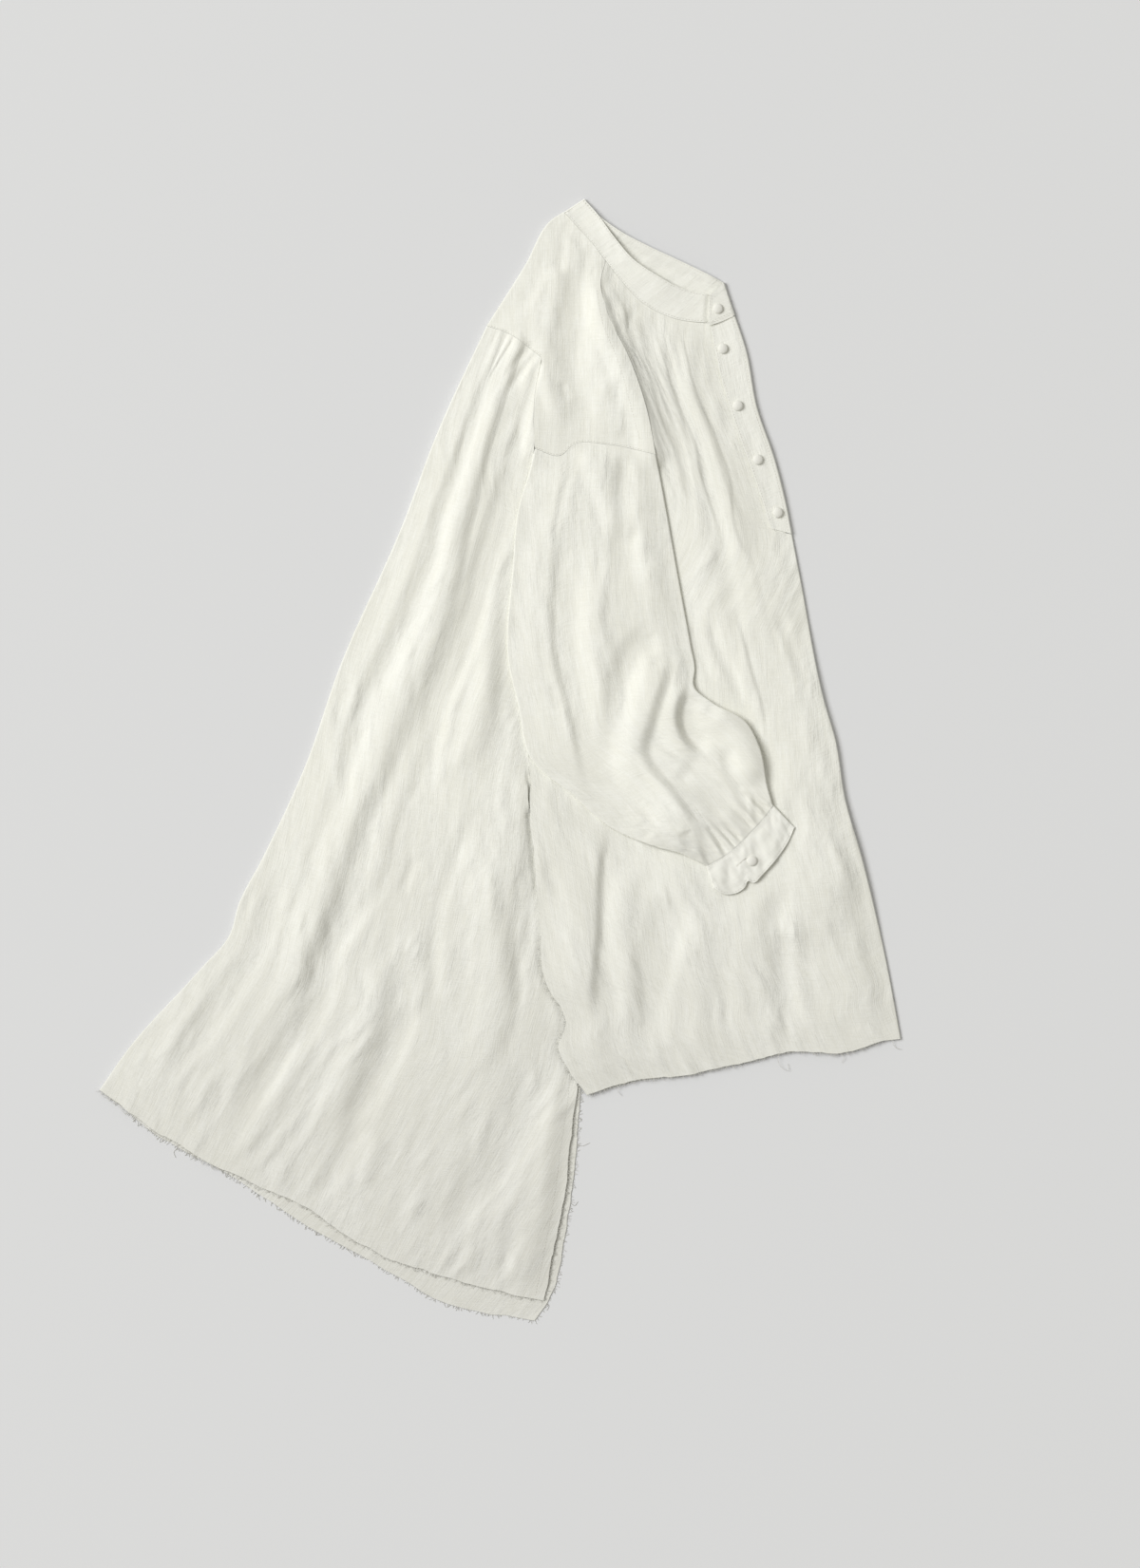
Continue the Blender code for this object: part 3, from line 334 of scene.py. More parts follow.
YOKE_GATHERS = (Gathers(5, 1.1, 60, YOKE_SEAM), Gathers(11, 0.35, 20, YOKE_SEAM))
NECK_GATHERS = (Gathers(6, 0.7, 80, NECK_FRONT), Gathers(15, 0.22, 24, NECK_FRONT))
CUFF_GATHERS = (Gathers(7, 1.9, 46, CUFF_SEAM), Gathers(13, 0.8, 20, CUFF_SEAM))


@dataclass(frozen=True)
class HeldEdge:
    """An edge that holds a panel down: the share of its loft left there, and where it is full."""

    share: float
    reach: float
    line: Line


BY_SLEEVE = HeldEdge(0.6, 70, SLEEVE_SEAM)
BACK_EDGES = (
    HeldEdge(0.12, 34, BACK_HEM), HeldEdge(0.2, 34, CENTRE_BACK), HeldEdge(0.2, 26, BACK_VENT[4:]),
    HeldEdge(0.3, 44, FRONT_VENT[2:]), BY_SLEEVE,
)
YOKE_EDGES = (
    HeldEdge(0.25, 40, NECK_BACK), HeldEdge(0.25, 30, YOKE_CENTRE_BACK), BY_SLEEVE,
)
FRONT_EDGES = (
    HeldEdge(0.5, 35, FRONT_HEM), HeldEdge(0.0, 40, SLIT), HeldEdge(0.2, 30, NECK_FRONT),
    HeldEdge(0.2, 28, CENTRE_FRONT), HeldEdge(0.3, 36, FRONT_VENT[2:]), BY_SLEEVE,
)
SLEEVE_EDGES = (
    HeldEdge(0.35, 40, CUFF_SEAM), HeldEdge(0.08, 48, SLEEVE_BACK[1:9]), HeldEdge(0.12, 36, SLEEVE_FRONT[:5]),
)


@dataclass(frozen=True)
class Slope:
    """An effect that is full up to one distance and gone at another, in millimetres."""

    full: float
    none: float


LOWER_OVER_SLEEVE = Slope(34, 85)
UPPER_OVER_SLEEVE = Slope(88, 150)
SLEEVE_OVER_BUTTON = Slope(9, 62)
LOWER_OVER_BUTTON = Slope(40, 90)
UPPER_OVER_BUTTON = Slope(72, 118)
TOP_SLEEVE_OVER_BUTTON = Slope(86, 140)
PRESSED_BY_SLEEVE = Slope(0, 30)
PRESSED_BY_FRONT = Slope(0.5, 6)
PRESSED_ABOVE_VENT = Slope(-52, 20)
LAP_ACROSS = Slope(14, 45)
LAP_UP = Slope(-58, -30)
SHOULDER_UP = Slope(320, 470)
SHOULDER_ASIDE = Slope(1, 16)
SLEEVE_FROM_SEAM = Slope(0, 22)
SEWN_FLAT = Slope(0, 14)
AT_SEAM = Slope(0.5, 7)


@dataclass(frozen=True)
class Ripple:
    """One size of the linen's crinkles: height, and length across and along the grain."""

    height: float
    across: float
    along: float
    ridged: bool = False


CRINKLES = (
    Ripple(0.9, 74, 300),
    Ripple(0.38, 32, 150),
    Ripple(0.22, 15, 46, True),
    Ripple(0.16, 8, 20),
)


# Waves of a raw edge. Columns: height, length
RAGGED_WAVES = ((1.3, 34), (0.7, 12), (0.4, 5))
LAP_OVER_CUFF = Slope(1, 24)
CUFF_RIM = Slope(3.0, 5.5)
CUFF_CLOSED = Slope(0.0, 11.0)
TAB_GROOVE = Slope(1.0, 4.5)
PLACKET_RIM = Slope(2.2, 5.0)
COLLAR_CURL = Slope(0.0, 0.4)  # shares of the collar's height, as in the next line
COLLAR_RIM = Slope(0.1, 0.26)


class Hold(Enum):
    """How a sheet of cloth is held."""

    FOLDED = "folded"
    GATHERED = "gathered"
    LAID = "laid"


class Seed(IntEnum):
    """Where the patterns of noise of each effect start."""

    WANDER = 3
    GATHERS = 7
    PUCKERS = 21
    COLLAR_RIGHT = 31
    COLLAR_LEFT = 32
    COLLAR_TAB = 33
    PLACKET = 34
    CREASES = 40
    FINE_WAVES = 50


@dataclass(frozen=True)
class Strip:
    """How a strip of the collar lies: its height, its waves, and how far its top lifts and curls up."""

    seed: int
    height: float
    wave: float
    lift: float = 0.0
    curl: float = 0.0


COLLAR_RIGHT = Strip(Seed.COLLAR_RIGHT, COLLAR_HEIGHT + 0.2, 0.6, lift=4.6)
COLLAR_LEFT = Strip(Seed.COLLAR_LEFT, COLLAR_CLOTH / 2 + 0.6, 0.3, curl=3.4)
COLLAR_TAB = Strip(Seed.COLLAR_TAB, TAB_HEIGHT, 0.3)


@dataclass(frozen=True)
class Noise:
    """Smooth seeded noise on a square lattice that repeats."""

    seed: int
    size: int = 96

    def at(self, across: Array, along: Array) -> Array:
        """Values from -1 to 1 at lattice coordinates.

        Args:
            across: First coordinate of each place.
            along: Second coordinate of each place.

        Returns:
            One value for each place.
        """
        lattice = np.random.default_rng(self.seed).uniform(-1, 1, (self.size, self.size))
        i, j = np.floor(across).astype(int), np.floor(along).astype(int)
        u, v = across - i, along - j
        u, v = (w**3 * (w * (6 * w - 15) + 10) for w in (u, v))
        i, j, i1, j1 = i % self.size, j % self.size, (i + 1) % self.size, (j + 1) % self.size
        first = lattice[i, j] * (1 - v) + lattice[i, j1] * v
        second = lattice[i1, j] * (1 - v) + lattice[i1, j1] * v
        return first * (1 - u) + second * u

    def on(self, cloth: Array, spot: tuple[float, float], start: tuple[float, float] = (0, 0)) -> Array:
        """Values on cloth, with spots this large across and along, from this place of the lattice."""
        return self.at(cloth[..., 0] / spot[0] + start[0], cloth[..., 1] / spot[1] + start[1])

    def along(self, shares: Array, waves: float) -> Array:
        """Values along a line, at shares of its length, with this many waves in all."""
        return self.at(shares * waves, shares * 0)


def smooth(value: Array) -> Array:
    """A step from 0 to 1 with soft ends."""
    value = np.clip(value, 0.0, 1.0)
    return value * value * (3 - 2 * value)


def near(distance: Array, slope: Slope) -> Array:
    """1 up to the slope's full distance, fading to 0 at its other one."""
    return smooth((slope.none - distance) / (slope.none - slope.full))


def run_of(line: Array) -> Array:
    """Length along a line up to each of its points."""
    return np.r_[0, np.cumsum(np.linalg.norm(np.diff(line, axis=0), axis=1))]


def place_at(line: Array, run: Array, length: float | Array) -> Array:
    """The places this far along a line, whose length up to each point is run."""
    return np.stack([np.interp(length, run, line[:, axis]) for axis in range(2)], axis=-1)


def curve(points: Line, steps: int = OUTLINE_STEPS) -> Array:
    """Even steps along a smooth line through the points.

    Args:
        points: The points of the line.
        steps: How many steps to take.

    Returns:
        One more point than there are steps.
    """
    points = np.array(points, float)
    if len(points) < 3:
        return points[0] + np.linspace(0, 1, steps + 1)[:, None] * (points[1] - points[0])
    chord = run_of(points)
    slope = np.gradient(points, chord, axis=0)
    at = np.linspace(0, chord[-1], STEPS_PER_POINT * len(points))
    span = np.clip(np.searchsorted(chord, at, side="right") - 1, 0, len(points) - 2)
    length = (chord[span + 1] - chord[span])[:, None]
    t = (at - chord[span])[:, None] / length
    dense = (
        points[span] * (1 + 2 * t) * (1 - t) ** 2
        + points[span + 1] * t**2 * (3 - 2 * t)
        + length * (slope[span] * t * (1 - t) ** 2 - slope[span + 1] * t**2 * (1 - t))
    )
    run = run_of(dense)
    return place_at(dense, run, np.linspace(0, run[-1], steps + 1))


def chain(*lines: Array) -> Array:
    """Lines that meet end to end as one, with their corners kept."""
    return np.concatenate([lines[0]] + [line[1:] for line in lines[1:]])


def joined(lines: tuple[Line, ...], steps: tuple[int, ...]) -> Array:
    """Smooth lines that meet end to end as one, each in its own number of steps."""
    return chain(*(curve(line, count) for line, count in zip(lines, steps)))


def inset(line: Array, distance: float | Array) -> Array:
    """A line moved sideways.

    Args:
        line: The line's points.
        distance: How far it moves, to the left of its direction where this is positive.

    Returns:
        As many points.
    """
    along = np.gradient(line, axis=0)
    along /= np.linalg.norm(along, axis=1)[:, None]
    return line + distance * np.stack([-along[:, 1], along[:, 0]], axis=1)


@dataclass(frozen=True)
class RawEdge:
    """A raw edge of the cloth: its clean line, and the seed of its waves."""

    line: Line
    seed: int

    def wavy(self, steps: int) -> Array:
        """The edge, a little wavy between its ends.

        Args:
            steps: How many even steps to take along it.

        Returns:
            One more point than there are steps.
        """
        line = curve(self.line, steps)
        run = run_of(line)
        waves = sum(
            height * Noise(self.seed + number).at(run / length, run * 0)
            for number, (height, length) in enumerate(RAGGED_WAVES)
        )
        ends = smooth(np.minimum(run, run[-1] - run) / RAGGED_WAVES[0][1])
        return inset(line, (waves * ends)[:, None])


RAW_BACK_VENT = RawEdge(BACK_VENT, 61)
RAW_BACK_VENT_UNDER = RawEdge(BACK_VENT_UNDER, 64)
RAW_BACK_HEM = RawEdge(BACK_HEM, 67)
RAW_BACK_HEM_UNDER = RawEdge(BACK_HEM_UNDER, 70)
RAW_FRONT_VENT = RawEdge(FRONT_VENT, 73)
RAW_FRONT_HEM = RawEdge(FRONT_HEM, 76)


def nearest_on(line: Array, places: Array) -> tuple[Array, Array, Array]:
    """The place on a line that is nearest to each of some others.

    Args:
        line: The line's points.
        places: The other places, in one list.

    Returns:
        For each, the number of the line's step, the share of that step, and the way back to the place.
    """
    start, step = line[:-1], np.diff(line, axis=0)
    t = np.clip(((places[:, None] - start) * step).sum(2) / (step**2).sum(1), 0, 1)
    offset = places[:, None] - (start + t[..., None] * step)
    at = np.linalg.norm(offset, axis=2).argmin(1)
    rows = np.arange(len(at))
    return at, t[rows, at], offset[rows, at]


def stretch(line: Array, first: Array, last: Array) -> Array:
    """The part of a line between the places on it nearest to two others.

    Args:
        line: The line's points.
        first: The place near its new start.
        last: The place near its new end.

    Returns:
        As many points as the line has, in even steps.
    """
    run = run_of(line)
    at, t, _ = nearest_on(line, np.array([first, last]))
    ends = run[at] + t * (run[at + 1] - run[at])
    return place_at(line, run, np.linspace(*ends, len(line)))


def patched(top: Array, bottom: Array, left: Array, right: Array) -> Array:
    """A grid of points whose four edges are the lines, cut short where they cross.

    Args:
        top: Edge of the first row, from left to right.
        bottom: Edge of the last row, from left to right.
        left: Edge of the first column, from top to bottom.
        right: Edge of the last column, from top to bottom.

    Returns:
        Rows of columns of plan points.
    """
    top, bottom = stretch(top, left[0], right[0]), stretch(bottom, left[-1], right[-1])
    left, right = np.array(left), np.array(right)
    left[0], right[0], left[-1], right[-1] = top[0], top[-1], bottom[0], bottom[-1]
    u = np.linspace(0, 1, len(top))[None, :, None]
    v = np.linspace(0, 1, len(left))[:, None, None]
    across = (1 - u) * left[:, None] + u * right[:, None]
    down = (1 - v) * top[None] + v * bottom[None]
    corners = (1 - v) * ((1 - u) * top[0] + u * top[-1]) + v * ((1 - u) * bottom[0] + u * bottom[-1])
    return across + down - corners


def beside(points: Array, line: Array) -> tuple[Array, Array, Array]:
    """Where points lie beside a line.

    Args:
        points: Plan points.
        line: The line's points.

    Returns:
        Each point's distance, whether it lies to the line's left, and how far along it lies.
    """
    step, shape = np.diff(line, axis=0), points.shape[:-1]
    at, t, away = nearest_on(line, points.reshape(-1, 2))
    left = step[at][:, 0] * away[:, 1] - step[at][:, 1] * away[:, 0] > 0
    distance, along = np.linalg.norm(away, axis=1), (at + t) / len(step)
    return distance.reshape(shape), left.reshape(shape), along.reshape(shape)


def distance_to(points: Array, line: Line, steps: int = OUTLINE_STEPS) -> Array:
    """How far each point lies from a smooth line."""
    return beside(points, curve(line, steps))[0]


def outside(points: Array, outline: Array) -> Array:
    """How far each point lies outside a closed outline, 0 within it.

    Args:
        points: Plan points.
        outline: The outline's points.

    Returns:
        One distance for each point.
    """
    ring = np.concatenate([outline, outline[:1]])
    distance, _, _ = beside(points, ring)
    x, y = points[..., 0, None], points[..., 1, None]
    (x0, y0), (x1, y1) = ring[:-1].T, ring[1:].T
    rise = np.where(y1 == y0, TINY, y1 - y0)
    crossing = ((y0 > y) != (y1 > y)) & (x < x0 + (y - y0) / rise * (x1 - x0))
    return np.where(crossing.sum(-1) % 2 == 1, 0.0, distance)


def above_floor(height: Array) -> Array:
    """The height, eased so that no trough goes below the layer under it."""
    return 0.5 * (height + np.sqrt(height**2 + 1.0))


def grain_of(plan: Array) -> Array:
    """Lengths along the cloth at each point of a grid, across from its middle column and down.

    Args:
        plan: Rows of columns of plan points.

    Returns:
        The two lengths of each point, in millimetres.
    """
    across = np.cumsum(np.linalg.norm(np.diff(plan, axis=1, prepend=plan[:, :1]), axis=2), axis=1)
    across -= across[:, plan.shape[1] // 2, None]
    along = np.cumsum(np.linalg.norm(np.diff(plan, axis=0, prepend=plan[:1]), axis=2), axis=0)
    return np.stack([across, along], axis=2)


@dataclass(frozen=True)
class Layers:
    """The heights of all layers of the laid shirt, in millimetres, and the habits of its folds.

    A crease fades in and out over shares of its length. One that starts as a gather is already
    partly there at its seam.
    """

    wander: float = 3.0
    wander_length: float = 60
    breadth: float = 1.3
    unevenness: float = 0.22
    uneven_waves: float = 2.5
    wide_after: float = 0.45
    fades_in_over: float = 0.2
    at_seam: float = 0.4
    from_seam_over: float = 0.3
    fades_out_over: float = 0.24
    gather_shift: float = 0.05
    gather_shift_waves: float = 6
    gather_unevenness: float = 0.35
    gather_pressed: float = 0.75
    crinkle_start: tuple[float, float] = (31, 17)
    left_under_sleeve: float = 0.22

    def wandering(self, points: Array) -> Array:
        """Plan points pushed about a little, so that folds wander as real ones do."""
        pushes = [Noise(Seed.WANDER + axis).on(points, (self.wander_length,) * 2) for axis in range(2)]
        return points + self.wander * np.stack(pushes, axis=-1)

    def relief(self, points: Array, creases: tuple[Crease, ...]) -> Array:
        """Height of the creases at each point.

        Args:
            points: Plan points.
            creases: The creases to add up.

        Returns:
            Heights above or below the floating cloth.
        """
        total = np.zeros(points.shape[:-1])
        moved = self.wandering(points)
        for number, crease in enumerate(creases):
            distance, east, along = beside(moved, curve(crease.line))
            width = crease.start + (1 - crease.start) * smooth(along / self.wide_after)
            reach = np.where(east, crease.right, crease.left) * width * self.breadth
            if crease.start == 1:
                ease = smooth(along / self.fades_in_over)
            else:
                ease = self.at_seam + (1 - self.at_seam) * smooth(along / self.from_seam_over)
            ends = smooth((1 - along) / self.fades_out_over) * ease
            uneven = 1 + self.unevenness * Noise(Seed.CREASES + number).along(along, self.uneven_waves)
            total += crease.height * uneven * ends * np.clip(1 - (distance / reach) ** 2, 0, 1) ** 2
        return total

    def gathers(self, points: Array, rows: tuple[Gathers, ...]) -> Array:
        """Height of rows of gathers, uneven in spacing and length, fading away from their seam.

        Args:
            points: Plan points.
            rows: The rows to add up.

        Returns:
            Heights above or below the floating cloth.
        """
        total = np.zeros(points.shape[:-1])
        for row in rows:
            distance, _, along = beside(points, curve(row.seam))
            shifted = along + self.gather_shift * Noise(Seed.GATHERS).along(along, self.gather_shift_waves)
            uneven = self.gather_unevenness * Noise(Seed.GATHERS + 1).along(along, row.count)
            length = row.length * (1 + uneven)
            fade = smooth((length - distance) / length)
            fade *= 1 - self.gather_pressed * near(distance, AT_SEAM)
            total += row.height * np.cos(math.tau * row.count * shifted) * fade
        return total

    def held(self, points: Array, edges: tuple[HeldEdge, ...]) -> Array:
        """The share of a panel's loft that its held edges leave.

        Args:
            points: Plan points.
            edges: The edges that hold it down.

        Returns:
            One share for each point.
        """
        share = np.ones(points.shape[:-1])
        for edge in edges:
            distance = distance_to(points, edge.line)
            share *= edge.share + (1 - edge.share) * smooth(distance / edge.reach)
        return share

    def crinkles(self, grain: Array, seed: int, strength: float = 1.0) -> Array:
        """Height of the linen's crinkles, long ones along the grain.

        Args:
            grain: Lengths across and along the cloth.
            seed: Which pattern of crinkles.
            strength: Their height, against the usual one.

        Returns:
            Heights above or below the floating cloth.
        """
        total = np.zeros(grain.shape[:-1])
        for number, ripple in enumerate(CRINKLES):
            value = Noise(seed * 10 + number).on(grain, (ripple.across, ripple.along), self.crinkle_start)
            if ripple.ridged:
                value = 1 - 2 * np.abs(value)
            total += ripple.height * value
        return total * strength

    def sewn_flat(self, points: Array, height: Array, seams: tuple[Line, ...]) -> Array:
        """The height of fine creases, less what a panel's seams hold flat.

        Args:
            points: Plan points.
            height: The height there, away from seams.
            seams: The lines of the seams.

        Returns:
            One height for each point, 0 on a seam.
        """
        share = np.ones(points.shape[:-1])
        for seam in seams:
            share *= 1 - near(distance_to(points, seam), SEWN_FLAT)
        return height * share

    def hidden_sleeve_area(self) -> Array:
        """Outline of the hidden sleeve and its cuff, a little larger than they are.

        Returns:
            The outline's points.
        """
        steps = (OUTLINE_STEPS, 2)
        front = inset(joined((SLEEVE_FRONT, (SLEEVE_FRONT[-1], CUFF_EDGE[-1])), steps), -SHELTER)
        back = inset(joined((SLEEVE_BACK, (SLEEVE_BACK[-1], CUFF_EDGE[0])), steps), SHELTER)
        return np.concatenate([front, back[::-1]])

    def sleeve_clearance(self, points: Array) -> Array:
        """Little where the top sleeve presses the body down, 1 away from it.

        Args:
            points: Plan points.

        Returns:
            The share of the body's loft that is left at each point.
        """
        ring = np.concatenate([curve(SLEEVE_FRONT), curve(CUFF_EDGE[::-1], 8), curve(SLEEVE_BACK[::-1])])
        pressed = near(outside(points, ring[ring[:, 1] < SEAM_CORNERS]), PRESSED_BY_SLEEVE)
        return 1 - (1 - self.left_under_sleeve) * pressed

    def button_bump(self, points: Array, slope: Slope) -> Array:
        """How far the hidden cuff's button, which faces the floor, lifts what lies on it."""
        away = np.linalg.norm(points - np.array(CUFF_BUTTON), axis=-1)
        return (BUTTON_HEIGHT + GAP) * near(away, slope)

    def hidden_sleeve(self, points: Array) -> Array:
        """Middle of the hidden sleeve's and cuff's lower wall."""
        return FLOOR_MID + self.button_bump(points, SLEEVE_OVER_BUTTON)

    def lifted(self, points: Array, by_sleeve: Slope, by_button: Slope) -> Array:
        """Middle of a wall that lies on the floor, on the hidden sleeve and on its button."""
        over_sleeve = SLEEVE_STACK * near(outside(points, self.hidden_sleeve_area()), by_sleeve)
        return FLOOR_MID + over_sleeve + self.button_bump(points, by_button)

    def under(self, points: Array) -> Array:
        """Middle of the body's lower layer: on the floor, and over the hidden sleeve."""
        return self.lifted(points, LOWER_OVER_SLEEVE, LOWER_OVER_BUTTON)

    def over(self, points: Array) -> Array:
        """Middle of the body's upper layer where it is pressed flat onto the lower one."""
        return self.lifted(points, UPPER_OVER_SLEEVE, UPPER_OVER_BUTTON) + LAYER + PRESSED

    def top_sleeve(self, points: Array) -> Array:
        """Middle of the lower wall of the sleeve and cuff on top."""
        return SLEEVE_LOW + self.button_bump(points, TOP_SLEEVE_OVER_BUTTON)

    def shoulder(self, points: Array) -> Array:
        """How far the yoke has climbed from the neck towards the top sleeve's seam."""
        return SHOULDER_RISE * near(points[..., 1], SHOULDER_UP)

    def shoulder_lift(self, points: Array) -> Array:
        """The same climb on the panels beside the yoke, which follow it a short way.

        Args:
            points: Plan points.

        Returns:
            How far each is lifted.
        """
        around = (NECK_BACK, YOKE_FRONT, SLEEVE_SEAM[::-1], YOKE_ARMHOLE[::-1], YOKE_SEAM[::-1])
        area = joined(around, (4, 10, 6, 4, 4))
        return self.shoulder(points) * near(outside(points, area), SHOULDER_ASIDE)

    def back(self, points: Array, extra: Array) -> Array:
        """Middle of the back's upper half, pressed flat where the front laps over it.

        Args:
            points: Plan points.
            extra: Height of the finer creases there.

        Returns:
            Heights above the floor.
        """
        vent, under_front, _ = beside(points, curve(FRONT_VENT[1:]))
        beside_front = np.where(under_front, 0.0, 1 - near(vent, PRESSED_BY_FRONT))
        clear = 1 - (1 - beside_front) * near(points[..., 1], PRESSED_ABOVE_VENT)
        shape = self.relief(points, BACK_FOLDS + YOKE_FOLDS) + self.gathers(points, YOKE_GATHERS)
        loft = above_floor(LOFT + shape + extra) * self.sleeve_clearance(points) * clear
        return self.over(points) + loft * self.held(points, BACK_EDGES) + self.shoulder_lift(points)

    def yoke(self, points: Array, extra: Array | float = 0.0) -> Array:
        """Middle of the yoke's upper half, which climbs to the top sleeve's seam.

        Args:
            points: Plan points.
            extra: Height of the finer creases there.

        Returns:
            Heights above the floor.
        """
        shape = self.relief(points, BACK_FOLDS + YOKE_FOLDS + (EDGE_OF_YOKE,))
        loft = above_floor(LOFT + shape + extra) * self.held(points, YOKE_EDGES)
        return self.over(points) + loft + self.shoulder(points)

    def front(self, points: Array, extra: Array) -> Array:
        """Middle of the front's upper half, which laps over the back below the vent's top.

        Args:
            points: Plan points.
            extra: Height of the finer creases there.

        Returns:
            Heights above the floor.
        """
        vent, beyond_back, _ = beside(points, curve(BACK_VENT[:6]))
        lap = np.where(beyond_back, near(vent, LAP_ACROSS), 1.0) * near(points[..., 1], LAP_UP)
        shape = self.relief(points, FRONT_FOLDS + YOKE_FOLDS) + self.gathers(points, NECK_GATHERS)
        loft = above_floor(LOFT + shape + extra) * self.sleeve_clearance(points)
        loft *= self.held(points, FRONT_EDGES)
        return self.over(points) + loft + FRONT_LAP * lap + self.shoulder_lift(points)

    def sleeve(self, points: Array, extra: Array) -> Array:
        """Middle of the top sleeve's upper wall, which meets the yoke at its seam.

        Args:
            points: Plan points.
            extra: Height of the finer creases there.

        Returns:
            Heights above the floor.
        """
        loft = above_floor(SLEEVE_LOFT + self.relief(points, SLEEVE_FOLDS) + extra)
        loft = above_floor(loft * self.held(points, SLEEVE_EDGES) + self.gathers(points, CUFF_GATHERS))
        own = self.top_sleeve(points) + LAYER + loft
        return own + (self.yoke(points) - own) * near(distance_to(points, SLEEVE_SEAM), SLEEVE_FROM_SEAM)


LAYERS = Layers()


class NodeTree:
    """A short way to wire a material's nodes."""

    def __init__(self, name: str) -> None:
        """Start a material with only its shader and output.

        Args:
            name: The material's name.
        """
        self.material = bpy.data.materials.new(name)
        self.material.use_nodes = True
        self.tree = self.material.node_tree
        self.shader = self.tree.nodes["Principled BSDF"]

    def fill(self, node: bpy.types.Node, values: dict[str, object]) -> None:
        """Fill a node's sockets.

        Args:
            node: The node.
            values: A value or another node's output for each socket, by its name or number.
        """
        for key, value in values.items():
            socket = node.inputs[int(key) if key.isdigit() else key]
            if isinstance(value, Socket):
                self.tree.links.new(value, socket)
            else:
                socket.default_value = value

    def add(self, kind: str, values: dict[str, object], output: int | str = 0, **settings: object) -> Socket:
        """Add a node, set its properties and fill its sockets.

        Args:
            kind: The node's type name.
            values: A value or another node's output for each socket, by its name or number.
            output: Which of its outputs to give back.
            **settings: The node's own properties.

        Returns:
            The output.
        """
        node = self.tree.nodes.new(kind)
        for key, value in settings.items():
            setattr(node, key, value)
        self.fill(node, values)
        return node.outputs[output]

    def math(self, operation: str, first: Socket, second: Socket) -> Socket:
        """The sum or the product of two outputs."""
        return self.add("ShaderNodeMath", {"0": first, "1": second}, operation=operation)

    def ranged(self, value: Socket, given: tuple[float, float], made: tuple[float, float]) -> Socket:
        """An output, brought from the range given to the one made."""
        return self.add("ShaderNodeMapRange", {
            "Value": value, "From Min": given[0], "From Max": given[1], "To Min": made[0], "To Max": made[1],
        })

    def mixed(self, share: Socket, first: Socket | tuple, second: Socket | tuple,
              blend: str = "MIX") -> Socket:
        """Two colours mixed by a share."""
        values = {"Factor": share, "6": first, "7": second}
        return self.add("ShaderNodeMix", values, 2, data_type="RGBA", blend_type=blend)


